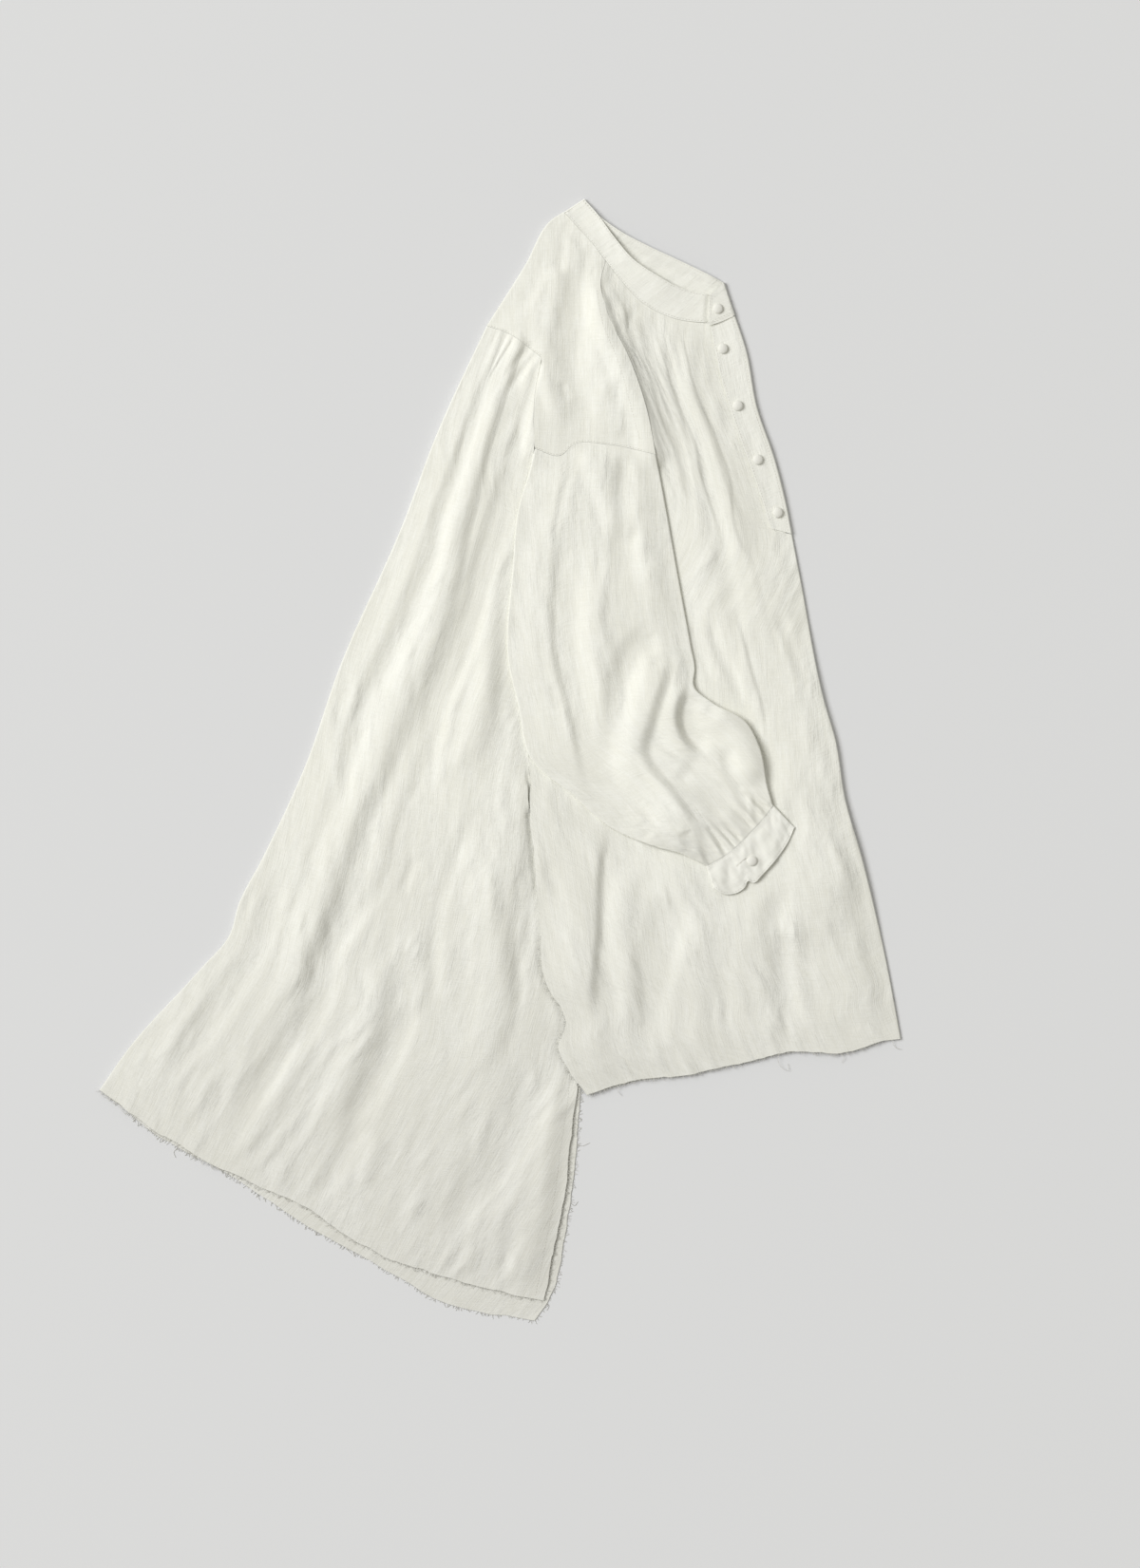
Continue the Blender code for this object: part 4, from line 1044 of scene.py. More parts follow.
@dataclass(frozen=True)
class Linen:
    """Washed plain-weave linen. Sizes are in metres, across and along the grain."""

    name: str
    slot: str
    pale: Colour
    deep: Colour
    thread: float = 0.00085
    slub: tuple[float, float] = (0.0011, 0.018)
    crinkle: tuple[float, float] = (0.0085, 0.0125)
    streak: tuple[float, float] = (0.0036, 0.038)
    crumple: tuple[float, float] = (0.022, 0.050)
    cloud: tuple[float, float] = (0.05, 0.12)
    weave_depth: float = 0.00010
    slub_depth: float = 0.00024
    crinkle_depth: float = 0.0008
    streak_depth: float = 0.00024
    crumple_depth: float = 0.0030
    tone_range: tuple[float, float] = (1.65, 2.35)
    patch_range: tuple[float, float] = (0.38, 0.62)
    patch_strength: tuple[float, float] = (0.3, 0.95)
    # Painted shade: below the given span of heights up the frame, in metres, the colour is multiplied towards
    # this grey, so the cloth darkens towards the hem as if the floor showed through.
    painted_hem_shade: Colour = (0.86, 0.856, 0.865)
    painted_shade_span: tuple[float, float] = (-0.49, -0.02)
    roughness: float = 0.88
    sheen: float = 0.08
    sheen_roughness: float = 0.5
    specular: float = 0.1

    def spots(self, tree: NodeTree, grain: Socket, size: tuple[float, float], detail: float,
              kind: str = "FBM") -> Socket:
        """Noise whose spots have the given size across and along the grain.

        Args:
            tree: The material.
            grain: Lengths across and along the cloth.
            size: The spots' two lengths.
            detail: How many finer sizes to add.
            kind: The kind of noise.

        Returns:
            The noise.
        """
        placed = tree.add("ShaderNodeMapping", {"Vector": grain, "Scale": (1 / size[0], 1 / size[1], 1)})
        values = {"Vector": placed, "Scale": 1.0, "Detail": detail, "Roughness": 0.55}
        return tree.add("ShaderNodeTexNoise", values, "Fac", noise_dimensions="2D", noise_type=kind)

    def colour(self, tree: NodeTree, tone: Socket) -> Socket:
        """Uneven ivory with painted shade: greyer towards the hem, standing in for the floor seen through the
        thin cloth.

        Args:
            tree: The material.
            tone: The sum of the noises that shade it.

        Returns:
            The colour.
        """
        linen = tree.mixed(tree.ranged(tone, self.tone_range, (0.0, 1.0)), (*self.deep, 1), (*self.pale, 1))
        place = tree.add("ShaderNodeTexCoord", {}, "Object")
        up = tree.add("ShaderNodeSeparateXYZ", {"Vector": place}, "Y")
        # Painted shade: the share of the grey multiply, full low in the frame and none above the span.
        thin = tree.ranged(up, self.painted_shade_span, (1.0, 0.0))
        return tree.mixed(thin, linen, (*self.painted_hem_shade, 1), "MULTIPLY")

    def normal(self, tree: NodeTree, grain: Socket, cloud: Socket, streaks: Socket,
               threads: Socket) -> Socket:
        """Crumples, crinkles, ribs, slubs and the weave, each on top of the larger ones.

        Args:
            tree: The material.
            grain: Lengths across and along the cloth.
            cloud: Where the cloth is more crumpled.
            streaks: Height of the ribs.
            threads: Height of the slubs.

        Returns:
            The bumped normal.
        """
        turns = math.tau / 20 / self.thread
        yarns = [
            tree.add("ShaderNodeTexWave", {"Vector": grain, "Scale": turns, "Distortion": 0.0}, "Fac",
                     bands_direction=way)
            for way in ("X", "Y")
        ]
        patches = {"Strength": tree.ranged(cloud, self.patch_range, self.patch_strength)}
        crumples = self.spots(tree, grain, self.crumple, 1.5, "RIDGED_MULTIFRACTAL")
        crinkles = self.spots(tree, grain, self.crinkle, 3)
        normal = {}
        for height, depth, strength in (
            (crumples, self.crumple_depth, patches), (crinkles, self.crinkle_depth, patches),
            (streaks, self.streak_depth, {}), (threads, self.slub_depth, {}),
            (tree.math("MULTIPLY", *yarns), self.weave_depth, {}),
        ):
            values = {"Height": height, "Distance": depth, **strength, **normal}
            normal = {"Normal": tree.add("ShaderNodeBump", values)}
        return normal["Normal"]

    def material(self) -> bpy.types.Material:
        """The linen's material, made once.

        Returns:
            The material.
        """
        if self.name in bpy.data.materials:
            return bpy.data.materials[self.name]
        tree = NodeTree(self.name)
        grain = tree.add("ShaderNodeUVMap", {}, uv_map="grain")
        warp, weft = (self.spots(tree, grain, size, 2) for size in (self.slub, self.slub[::-1]))
        cloud = self.spots(tree, grain, self.cloud, 2)
        streaks = self.spots(tree, grain, self.streak, 3)
        threads = tree.math("ADD", warp, weft)
        tone = tree.math("ADD", threads, tree.math("ADD", streaks, cloud))
        tree.fill(tree.shader, {
            "Base Color": self.colour(tree, tone),
            "Normal": self.normal(tree, grain, cloud, streaks, threads),
            "Roughness": self.roughness, "Sheen Weight": self.sheen, "Sheen Roughness": self.sheen_roughness,
            "Specular IOR Level": self.specular,
        })
        return tree.material


BODY_LINEN = Linen("ivory linen", "linen", (0.888, 0.890, 0.836), (0.846, 0.843, 0.772))
DOUBLED_LINEN = Linen(
    "ivory linen, doubled", "linen_doubled", (0.906, 0.908, 0.856), (0.878, 0.877, 0.813),
    crumple_depth=0.0012,
)
BUTTON_FINISH = Linen(
    "linen over a button", "button_linen", (0.85, 0.848, 0.80), (0.81, 0.806, 0.748), crinkle_depth=0.0001,
    streak_depth=0.0, crumple_depth=0.0,
)
THREAD_FINISH = Linen(
    "sewing thread", "linen_doubled", (0.81, 0.79, 0.70), (0.77, 0.75, 0.66), crinkle_depth=0.0,
    weave_depth=0.0, streak_depth=0.0, crumple_depth=0.0,
)
YARN_FINISH = Linen(
    "loose linen yarn", "linen", (0.90, 0.89, 0.83), (0.87, 0.86, 0.79), crinkle_depth=0.0, weave_depth=0.0,
    streak_depth=0.0, crumple_depth=0.0,
)


@dataclass(frozen=True)
class Place:
    """Where the tables' middle lies in the frame, in metres."""

    right: float
    up: float

    @classmethod
    def from_frame(cls) -> "Place":
        """Read it from the first placket button, whose seat both sources name.

        Returns:
            The place.
        """
        low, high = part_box("button_placket_1")
        seat = PLACKET_BUTTONS["button_placket_1"]
        return cls((low.x + high.x) / 2 - seat[0] * MM, (low.y + high.y) / 2 - seat[1] * MM)

    def metres(self, points: Array) -> Array:
        """Table points with heights, as metres in the frame."""
        return points * MM + np.array([self.right, self.up, 0.0])


def new_piece(name: str, points: Array | list, faces: Array | list) -> bpy.types.Object:
    """Make an object from points and faces, with a map for the grain.

    Args:
        name: The piece's name.
        points: Its points, in metres.
        faces: The numbers of each face's points.

    Returns:
        The piece.
    """
    mesh = bpy.data.meshes.new(name)
    mesh.from_pydata(points, [], faces)
    mesh.uv_layers.new(name="grain")
    piece = bpy.data.objects.new(mesh.name, mesh)
    bpy.context.scene.collection.objects.link(piece)
    return piece


def dress(piece: bpy.types.Object, finish: Linen, *nodes: str) -> None:
    """Give a piece its finish and its body, in place of the solids that it stands for.

    Args:
        piece: The finished shape.
        finish: Its linen.
        *nodes: Names of the solids.
    """
    piece.data.shade_smooth()
    piece.data.materials.append(finish.material())
    if nodes:
        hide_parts(*nodes)
    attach(piece, BODY)
    LOG.info("%s: %d faces", piece.name, len(piece.data.polygons))


@dataclass
class Cloth:
    """One cut piece of cloth as a thin shell: a grid of points with a wall to both sides."""

    node: str
    finish: Linen
    wall: float
    held: Hold
    flat: tuple[float, float]
    area: float

    def raised(self, plan: Array, heights: Array) -> Array:
        """Plan points with their heights."""
        return np.concatenate([plan, heights[..., None]], axis=2)

    def turn(self, first: Array, second: Array, side: int, depth: float = FOLD_DEPTH,
             steps: int = 7) -> Array:
        """Columns that carry the cloth round a fold.

        Args:
            first: The column before the fold.
            second: The column after it.
            side: 1 where it bulges to the left of the columns' direction, -1 to the right.
            depth: How far it bulges.
            steps: How many columns to make.

        Returns:
            The new columns.
        """
        middle, half = (first + second) / 2, (first - second) / 2
        along = np.gradient(middle[:, :2], axis=0)
        along /= np.linalg.norm(along, axis=1)[:, None]
        out = np.stack([-along[:, 1], along[:, 0], np.zeros(len(along))], axis=1) * side
        angles = np.linspace(0, math.pi, steps + 2)[1:-1]
        return np.stack([middle + half * math.cos(a) + out * depth * math.sin(a) for a in angles], axis=1)

    def folded(self, under: Array, over: Array) -> Array:
        """Lower half, fold along their first columns and upper half as one grid."""
        return np.concatenate([under[:, ::-1], self.turn(under[:, 0], over[:, 0], -1), over], axis=1)

    def tube(self, over: Array, under: Array, depth: float = FOLD_DEPTH) -> Array:
        """Upper wall, fold, lower wall and fold as one grid, whose last column joins the first.

        Args:
            over: Points of the upper wall.
            under: Points of the lower wall.
            depth: How far the folds bulge.

        Returns:
            Rows of columns of points.
        """
        right = self.turn(over[:, -1], under[:, -1], 1, depth)
        left = self.turn(under[:, 0], over[:, 0], -1, depth)
        return np.concatenate([over, right, under[:, ::-1], left], axis=1)

    def shell(self, place: Place, grid: Array, kept: Array | None = None, closed: bool = False,
              grain: Array | None = None) -> bpy.types.Object:
        """Make the thin shell and dress it.

        Args:
            place: Where the tables' middle lies.
            grid: Rows of columns of points, in millimetres.
            kept: Which of the grid's faces to make, or None for all.
            closed: Whether the last column joins the first.
            grain: Lengths across and along the cloth at each point, or None to measure them on the grid.

        Returns:
            The finished piece.
        """
        rows, columns = grid.shape[:2]
        r, c = np.meshgrid(np.arange(rows - 1), np.arange(columns if closed else columns - 1), indexing="ij")
        rows_at, columns_at = np.stack([r, r + 1, r + 1, r], 2), np.stack([c, c, c + 1, c + 1], 2)
        if kept is not None:
            rows_at, columns_at = rows_at[kept], columns_at[kept]
        quads = (rows_at * columns + columns_at % columns).reshape(-1, 4)
        piece = new_piece(f"{self.node}_cloth", place.metres(grid.reshape(-1, 3)), quads)
        if grain is None:
            grain = grain_of((np.concatenate([grid, grid[:, :1]], axis=1) if closed else grid)[..., :2])
        uv = grain[rows_at.reshape(-1), columns_at.reshape(-1)] * MM
        piece.data.uv_layers["grain"].data.foreach_set("uv", uv.astype(np.float32).ravel())
        shape = bmesh.new()
        shape.from_mesh(piece.data)
        bmesh.ops.delete(shape, geom=[v for v in shape.verts if not v.link_faces], context="VERTS")
        shape.to_mesh(piece.data)
        shape.free()
        solid = piece.modifiers.new("wall", "SOLIDIFY")
        solid.thickness = self.wall * MM
        solid.offset = 0
        bpy.context.view_layer.update()
        graph = bpy.context.evaluated_depsgraph_get()
        walled = bpy.data.meshes.new_from_object(piece.evaluated_get(graph))
        piece.modifiers.clear()
        piece.data = walled
        dress(piece, self.finish, self.node)
        walled.set_sharp_from_angle(angle=math.radians(SHARP_FROM))
        return piece

    def declare(self, piece: bpy.types.Object, with_pieces: list[bpy.types.Object]) -> None:
        """Does nothing: the piece is not stated as a sheet.

        Args:
            piece: The cloth. Not used.
            with_pieces: What is sewn to it. Not used.
        """


@dataclass
class Back(Cloth):
    """The back, one cut folded down the centre back, with a raw long hem."""

    rows: int = 272
    armhole_rows: int = 50
    side_rows: int = 60
    columns: int = 136
    under_columns: int = 34
    crinkle_seed: int = 1

    def half(self, vent: RawEdge, hem: RawEdge, columns: int) -> Array:
        """Plan of one half, from the centre back to the armhole, side seam and vent.

        Args:
            vent: Its edge below the side seam.
            hem: Its lower edge.
            columns: How many columns it has.

        Returns:
            Rows of columns of plan points.
        """
        seam = joined((BACK_ARMHOLE, SIDE_SEAM), (self.armhole_rows, self.side_rows))
        below = vent.wavy(self.rows - self.armhole_rows - self.side_rows)
        fold = inset(curve(CENTRE_BACK, self.rows), EDGE)
        top = curve(YOKE_SEAM, columns) + (0, -SEAM)
        return patched(top, hem.wavy(columns), fold, inset(chain(seam, below), -SEAM))

    def build(self, place: Place) -> bpy.types.Object:
        """Lower half, fold and upper half as one grid.

        Args:
            place: Where the tables' middle lies.

        Returns:
            The finished piece.
        """
        upper = self.half(RAW_BACK_VENT, RAW_BACK_HEM, self.columns)
        lower = self.half(RAW_BACK_VENT_UNDER, RAW_BACK_HEM_UNDER, self.under_columns)
        fine = LAYERS.relief(upper, BACK_FINE) + LAYERS.crinkles(grain_of(upper), self.crinkle_seed)
        extra = LAYERS.sewn_flat(upper, fine, (YOKE_SEAM, SIDE_SEAM))
        over = self.raised(upper, LAYERS.back(upper, extra))
        return self.shell(place, self.folded(self.raised(lower, LAYERS.under(lower)), over))


@dataclass
class Yoke(Cloth):
    """The yoke with its dropped shoulder, folded down the centre back."""

    rows: int = 110
    foot_columns: tuple[int, int, int] = (16, 24, 60)
    under_foot_columns: tuple[int, int, int] = (4, 3, 5)
    crinkle_seed: int = 2
    crinkle_strength: float = 0.7

    def half(self, neck: Line, foot_columns: tuple[int, int, int]) -> Array:
        """Plan of one half, from the neck to the seams with the back, the armhole and the sleeve.

        Args:
            neck: Its upper edge.
            foot_columns: How many columns reach each of those three.

        Returns:
            Rows of columns of plan points.
        """
        foot = inset(joined((YOKE_SEAM, YOKE_ARMHOLE, SLEEVE_SEAM), foot_columns), SEAM)
        fold = inset(curve(YOKE_CENTRE_BACK, self.rows), EDGE)
        front = inset(curve(YOKE_FRONT, self.rows), -SEAM)
        return patched(inset(curve(neck, sum(foot_columns)), -SEAM), foot, fold, front)

    def build(self, place: Place) -> bpy.types.Object:
        """Lower half, fold and upper half as one grid, whose grain is the plan itself.

        Args:
            place: Where the tables' middle lies.

        Returns:
            The finished piece.
        """
        upper = self.half(NECK_BACK, self.foot_columns)
        lower = self.half(NECK_BACK_UNDER, self.under_foot_columns)
        fine = LAYERS.relief(upper, YOKE_FINE)
        fine += LAYERS.crinkles(upper, self.crinkle_seed, self.crinkle_strength)
        extra = LAYERS.sewn_flat(upper, fine, (YOKE_SEAM, YOKE_ARMHOLE, SLEEVE_SEAM, YOKE_FRONT))
        under = self.raised(lower, np.full(lower.shape[:-1], FLOOR_MID))
        grid = self.folded(under, self.raised(upper, LAYERS.yoke(upper, extra)))
        return self.shell(place, grid, grain=grid[..., :2])


@dataclass
class Front(Cloth):
    """The front, one cut folded down the centre front and slit at the neck for the placket."""

    slit_rows: int = 84
    fold_rows: int = 176
    yoke_rows: int = 78
    armhole_rows: int = 42
    side_rows: int = 58
    columns: int = 130
    under_columns: int = 12
    fold_columns: int = 6
    crinkle_seed: int = 3

    def half(self, neck: Line, slit: Line, hem: Array, vent: Array) -> Array:
        """Plan of one half, from the yoke, armhole, side seam and vent to the slit and centre front.

        Args:
            neck: Its upper edge.
            slit: Its edge beside the placket.
            hem: Points of its lower edge, one for each column.
            vent: Points of its edge below the side seam.

        Returns:
            Rows of columns of plan points.
        """
        seams = joined(
            (YOKE_FRONT, FRONT_ARMHOLE, SIDE_SEAM), (self.yoke_rows, self.armhole_rows, self.side_rows),
        )
        centre = joined((slit, BESIDE_FOLD), (self.slit_rows, self.fold_rows))
        top = inset(curve(neck, len(hem) - 1), -SEAM)
        return patched(top, hem, inset(chain(seams, vent), SEAM), centre)

    def build(self, place: Place) -> bpy.types.Object:
        """Upper half, fold and lower half as one grid, open above the slit's end.

        Args:
            place: Where the tables' middle lies.

        Returns:
            The finished piece.
        """
        fold = inset(joined((FOLD_BY_SLIT, CENTRE_FRONT), (self.slit_rows, self.fold_rows)), -EDGE)[:, None]
        seam_rows = self.yoke_rows + self.armhole_rows + self.side_rows
        vent_rows = self.slit_rows + self.fold_rows - seam_rows
        upper = self.half(
            NECK_FRONT, SLIT, RAW_FRONT_HEM.wavy(self.columns), RAW_FRONT_VENT.wavy(vent_rows),
        )
        lower = self.half(
            NECK_FRONT_UNDER, SLIT_UNDER, curve(FRONT_HEM, self.under_columns),
            curve(FRONT_VENT_UNDER, vent_rows),
        )
        last, shares = upper[:, -1:], [step / self.fold_columns for step in range(1, self.fold_columns + 1)]
        plan = np.concatenate([upper, *(last + (fold - last) * share for share in shares)], axis=1)
        fine = LAYERS.relief(plan, FRONT_FINE) + LAYERS.crinkles(grain_of(plan), self.crinkle_seed)
        extra = LAYERS.sewn_flat(plan, fine, (YOKE_FRONT, SIDE_SEAM))
        over = self.raised(plan, LAYERS.front(plan, extra))
        low_plan = np.concatenate([lower, fold], axis=1)
        under = self.raised(low_plan, LAYERS.under(low_plan))
        bend = self.turn(over[:, -1], under[:, -1], 1)
        grid = np.concatenate([over, bend, under[:, ::-1]], axis=1)
        kept = np.ones((grid.shape[0] - 1, grid.shape[1] - 1), bool)
        kept[: self.slit_rows, upper.shape[1] - 1 : over.shape[1] + bend.shape[1] + 1] = False
        return self.shell(place, grid, kept)


@dataclass
class Sleeve(Cloth):
    """A full sleeve as a flattened tube. The one on top is creased, the hidden one is plain."""

    rows: int = 190
    columns: int = 118
    under_columns: int = 10
    shelter: float = 0.0
    crinkle_seed: int = 4

    def plan(self, columns: int) -> Array:
        """Plan of one of the tube's walls.

        Args:
            columns: How many columns it has.

        Returns:
            Rows of columns of plan points.
        """
        aside = EDGE + self.shelter
        back = inset(curve(SLEEVE_BACK, self.rows), aside)
        front = inset(curve(SLEEVE_FRONT, self.rows), -aside)
        foot = curve(CUFF_SEAM, columns) + (-SEAM, SEAM)
        return patched(curve(SLEEVE_SEAM, columns) + (0, -SEAM), foot, back, front)

    def build(self, place: Place) -> bpy.types.Object:
        """Both walls of the tube as one closed grid.

        Args:
            place: Where the tables' middle lies.

        Returns:
            The finished piece.
        """
        upper, lower = self.plan(self.columns), self.plan(self.under_columns)
        if self.shelter:
            low = LAYERS.hidden_sleeve
            heights = low(upper) + LAYER
        else:
            low = LAYERS.top_sleeve
            fine = LAYERS.relief(upper, SLEEVE_FINE) + LAYERS.crinkles(grain_of(upper), self.crinkle_seed)
            heights = LAYERS.sleeve(upper, LAYERS.sewn_flat(upper, fine, (SLEEVE_SEAM,)))
        grid = self.tube(self.raised(upper, heights), self.raised(lower, low(lower)))
        return self.shell(place, grid, closed=True)


@dataclass
class Cuff(Cloth):
    """A narrow cuff, one flat band whose ends lap and button."""

    rows: int = 26
    columns: int = 64
    shelter: float = 0.0
    pucker: float = 1.2
    pucker_size: tuple[float, float] = (9, 14)
    fine_pucker: float = 0.6
    fine_pucker_size: tuple[float, float] = (5, 9)
    pucker_start: tuple[float, float] = (5, 3)
    lap: float = 0.9
    rim: float = 0.35

    def shaped(self, plan: Array, heights: Array) -> Array:
        """The upper wall's heights with puckers, its lap, its thick rim and its closed lower edge.

        Args:
            plan: Plan points of the wall.
            heights: Its heights as a plain wall.

        Returns:
            The new heights.
        """
        grain = grain_of(plan)
        puckers = Noise(Seed.PUCKERS).on(grain, self.pucker_size, self.pucker_start)
        finer = Noise(Seed.PUCKERS + 1).on(grain, self.fine_pucker_size, self.pucker_start)
        puckers += self.fine_pucker * finer
        distance, over_lap, _ = beside(plan, curve(CUFF_LAP, 12))
        lap = self.lap * np.where(over_lap, near(distance, LAP_OVER_CUFF), 0.0)
        by_edge, by_seam = (distance_to(plan, line, 40) for line in (CUFF_EDGE, CUFF_SEAM))
        heights = heights + (self.pucker * puckers + lap)
        heights -= self.pucker * puckers * near(by_seam, AT_SEAM)
        heights += self.rim * near(np.minimum(by_edge, by_seam), CUFF_RIM)
        return heights - CUFF_LOFT * near(by_edge, CUFF_CLOSED)

    def build(self, place: Place) -> bpy.types.Object:
        """Both walls of the band as one closed grid.

        Args:
            place: Where the tables' middle lies.

        Returns:
            The finished piece.
        """
        seam, edge = curve(CUFF_SEAM, self.columns) + (SEAM, -SEAM), curve(CUFF_EDGE, self.columns)
        sides = [curve((tuple(seam[at]), tuple(edge[at])), self.rows) for at in (0, -1)]
        aside = EDGE + self.shelter
        plan = patched(seam, edge, inset(sides[0], aside), inset(sides[1], -aside))
        if self.shelter:
            low, depth = LAYERS.hidden_sleeve(plan), FOLD_DEPTH
            heights = low + LAYER
        else:
            low, depth = LAYERS.top_sleeve(plan), FOLD_DEPTH + CUFF_LOFT / 2
            heights = self.shaped(plan, low + LAYER + CUFF_LOFT)
        grid = self.tube(self.raised(plan, heights), self.raised(plan, low), depth)
        return self.shell(place, grid, closed=True)


@dataclass
class Collar(Cloth):
    """The band collar: right half, centre back fold, left half, front fold and the tab on top."""

    rows: int = 18
    trim: float = 1.6
    fold_depth: float = 1.4
    wave_size: tuple[float, float] = (22, 17)
    fine_wave: float = 0.2
    fine_wave_size: tuple[float, float] = (9, 12)
    wave_start: tuple[float, float] = (9, 2)
    rim: float = 0.35
    flat_by_tab: float = 0.26
    lift_power: float = 1.5
    curl_ends: float = 3
    tab_groove: float = 1.5
    tab_tilt: float = 0.9

    def band(self, top: Array, foot: Array, strip: Strip) -> Array:
        """A strip between two edge lines, a little wavy, as columns from top to foot.

        Args:
            top: The upper edge.
            foot: The lower edge.
            strip: How it lies.

        Returns:
            Rows of columns of points.
        """
        shares = np.linspace(0, 1, self.rows)[:, None, None]
        plan = top[None] * (1 - shares) + foot[None] * shares
        grain = grain_of(plan)
        waves = Noise(strip.seed).on(grain, self.wave_size, self.wave_start)
        fine = Noise(strip.seed + Seed.FINE_WAVES).on(grain, self.fine_wave_size, self.wave_start)
        share = shares[..., 0]
        held = np.sin(math.pi * share)
        run = np.linspace(0, 1, plan.shape[1])[None]
        standing = smooth((run - self.flat_by_tab / 2) / self.flat_by_tab)
        standing *= smooth((1 - run) / self.flat_by_tab)
        ends = smooth(np.sin(math.pi * run) * self.curl_ends)
        rise = strip.lift * (1 - share) ** self.lift_power * standing
        rise += strip.curl * near(share, COLLAR_CURL) * ends
        rise += self.rim * near(np.minimum(share, 1 - share), COLLAR_RIM)
        return self.raised(plan, strip.height + rise + (strip.wave * waves + self.fine_wave * fine) * held)

    def build(self, place: Place) -> bpy.types.Object:
        """The whole ribbon as one grid.

        Args:
            place: Where the tables' middle lies.

        Returns:
            The finished piece.
        """
        foot = inset(joined((NECK_BACK, NECK_FRONT), (30, 70)), SEAM)
        foot_under = inset(joined((NECK_BACK_UNDER, NECK_FRONT_UNDER), (26, 64)), SEAM)
        right = self.band(curve(COLLAR_TOP, 100)[::-1], foot[::-1], COLLAR_RIGHT)
        left = self.band(curve(COLLAR_TOP_UNDER, 90), foot_under, COLLAR_LEFT)
        tab = self.band(curve(TAB_TOP, 16), curve(TAB_FOOT, 16), COLLAR_TAB)
        right[..., 2] -= self.tab_groove * near(distance_to(right[..., :2], TAB_EDGE[:4], 12), TAB_GROOVE)
        tab[..., 2] += self.tab_tilt * np.linspace(-1, 1, tab.shape[1])
        for strip, column, way in (
            (right, -1, (1, -1)), (left, 0, (1, -1)), (left, -1, (-1, 0)), (tab, 0, (-1, 0)),
        ):
            strip[:, column, :2] += np.array(way) * self.trim
        behind = self.turn(right[:, -1], left[:, 0], -1, self.fold_depth)
        before = self.turn(left[:, -1], tab[:, 0], 1, self.fold_depth)
        return self.shell(place, np.concatenate([right, behind, left, before, tab], axis=1))


@dataclass
class Placket(Cloth):
    """A placket strip: the one on top wraps the centre front, the other lies below it."""

    wraps: bool = True
    rows: int = 120
    columns: int = 16
    under_columns: int = 4
    wave: float = 0.3
    wave_size: tuple[float, float] = (14, 26)
    rim: float = 0.45
    turn_in: float = 0.3
    under_inset: float = 1.2
    under_reach: float = 6

    def strip(self, left: Array, right: Array, steps: int) -> Array:
        """Plan of a strip between two lines, with its ends turned in.

        Args:
            left: Its left edge.
            right: Its right edge.
            steps: How many columns wide it is.

        Returns:
            Rows of columns of plan points.
        """
        shares = np.linspace(0, 1, steps + 1)[None, :, None]
        plan = left[:, None] * (1 - shares) + right[:, None] * shares
        plan[0, :, 1] -= self.turn_in
        plan[-1, :, 1] += self.turn_in
        return plan

    def build(self, place: Place) -> bpy.types.Object:
        """The strip as one grid.

        Args:
            place: Where the tables' middle lies.

        Returns:
            The finished piece.
        """
        by_slit = curve(FOLD_BY_SLIT, self.rows)
        if not self.wraps:
            left, right = inset(curve(SLIT, self.rows), SEAM), inset(by_slit, -self.under_reach)
            plan = self.strip(left, right, self.under_columns)
            return self.shell(place, self.raised(plan, LAYERS.over(plan)))
        fold = inset(by_slit, -EDGE)
        over = self.strip(curve(PLACKET_EDGE, self.rows), fold, self.columns)
        hidden_edge = inset(curve(SLIT_UNDER, self.rows), self.under_inset)
        under = self.strip(fold, hidden_edge, self.under_columns)
        waves = self.wave * Noise(Seed.PLACKET).on(over, self.wave_size)
        rim = self.rim * near(distance_to(over, PLACKET_EDGE, self.rows), PLACKET_RIM)
        top = self.raised(over, LAYERS.over(over) + PLACKET_LIFT + waves + rim)
        bottom = self.raised(under, LAYERS.under(under))
        wrap = self.turn(top[:, -1], bottom[:, 0], 1)
        return self.shell(place, np.concatenate([top, wrap, bottom], axis=1))


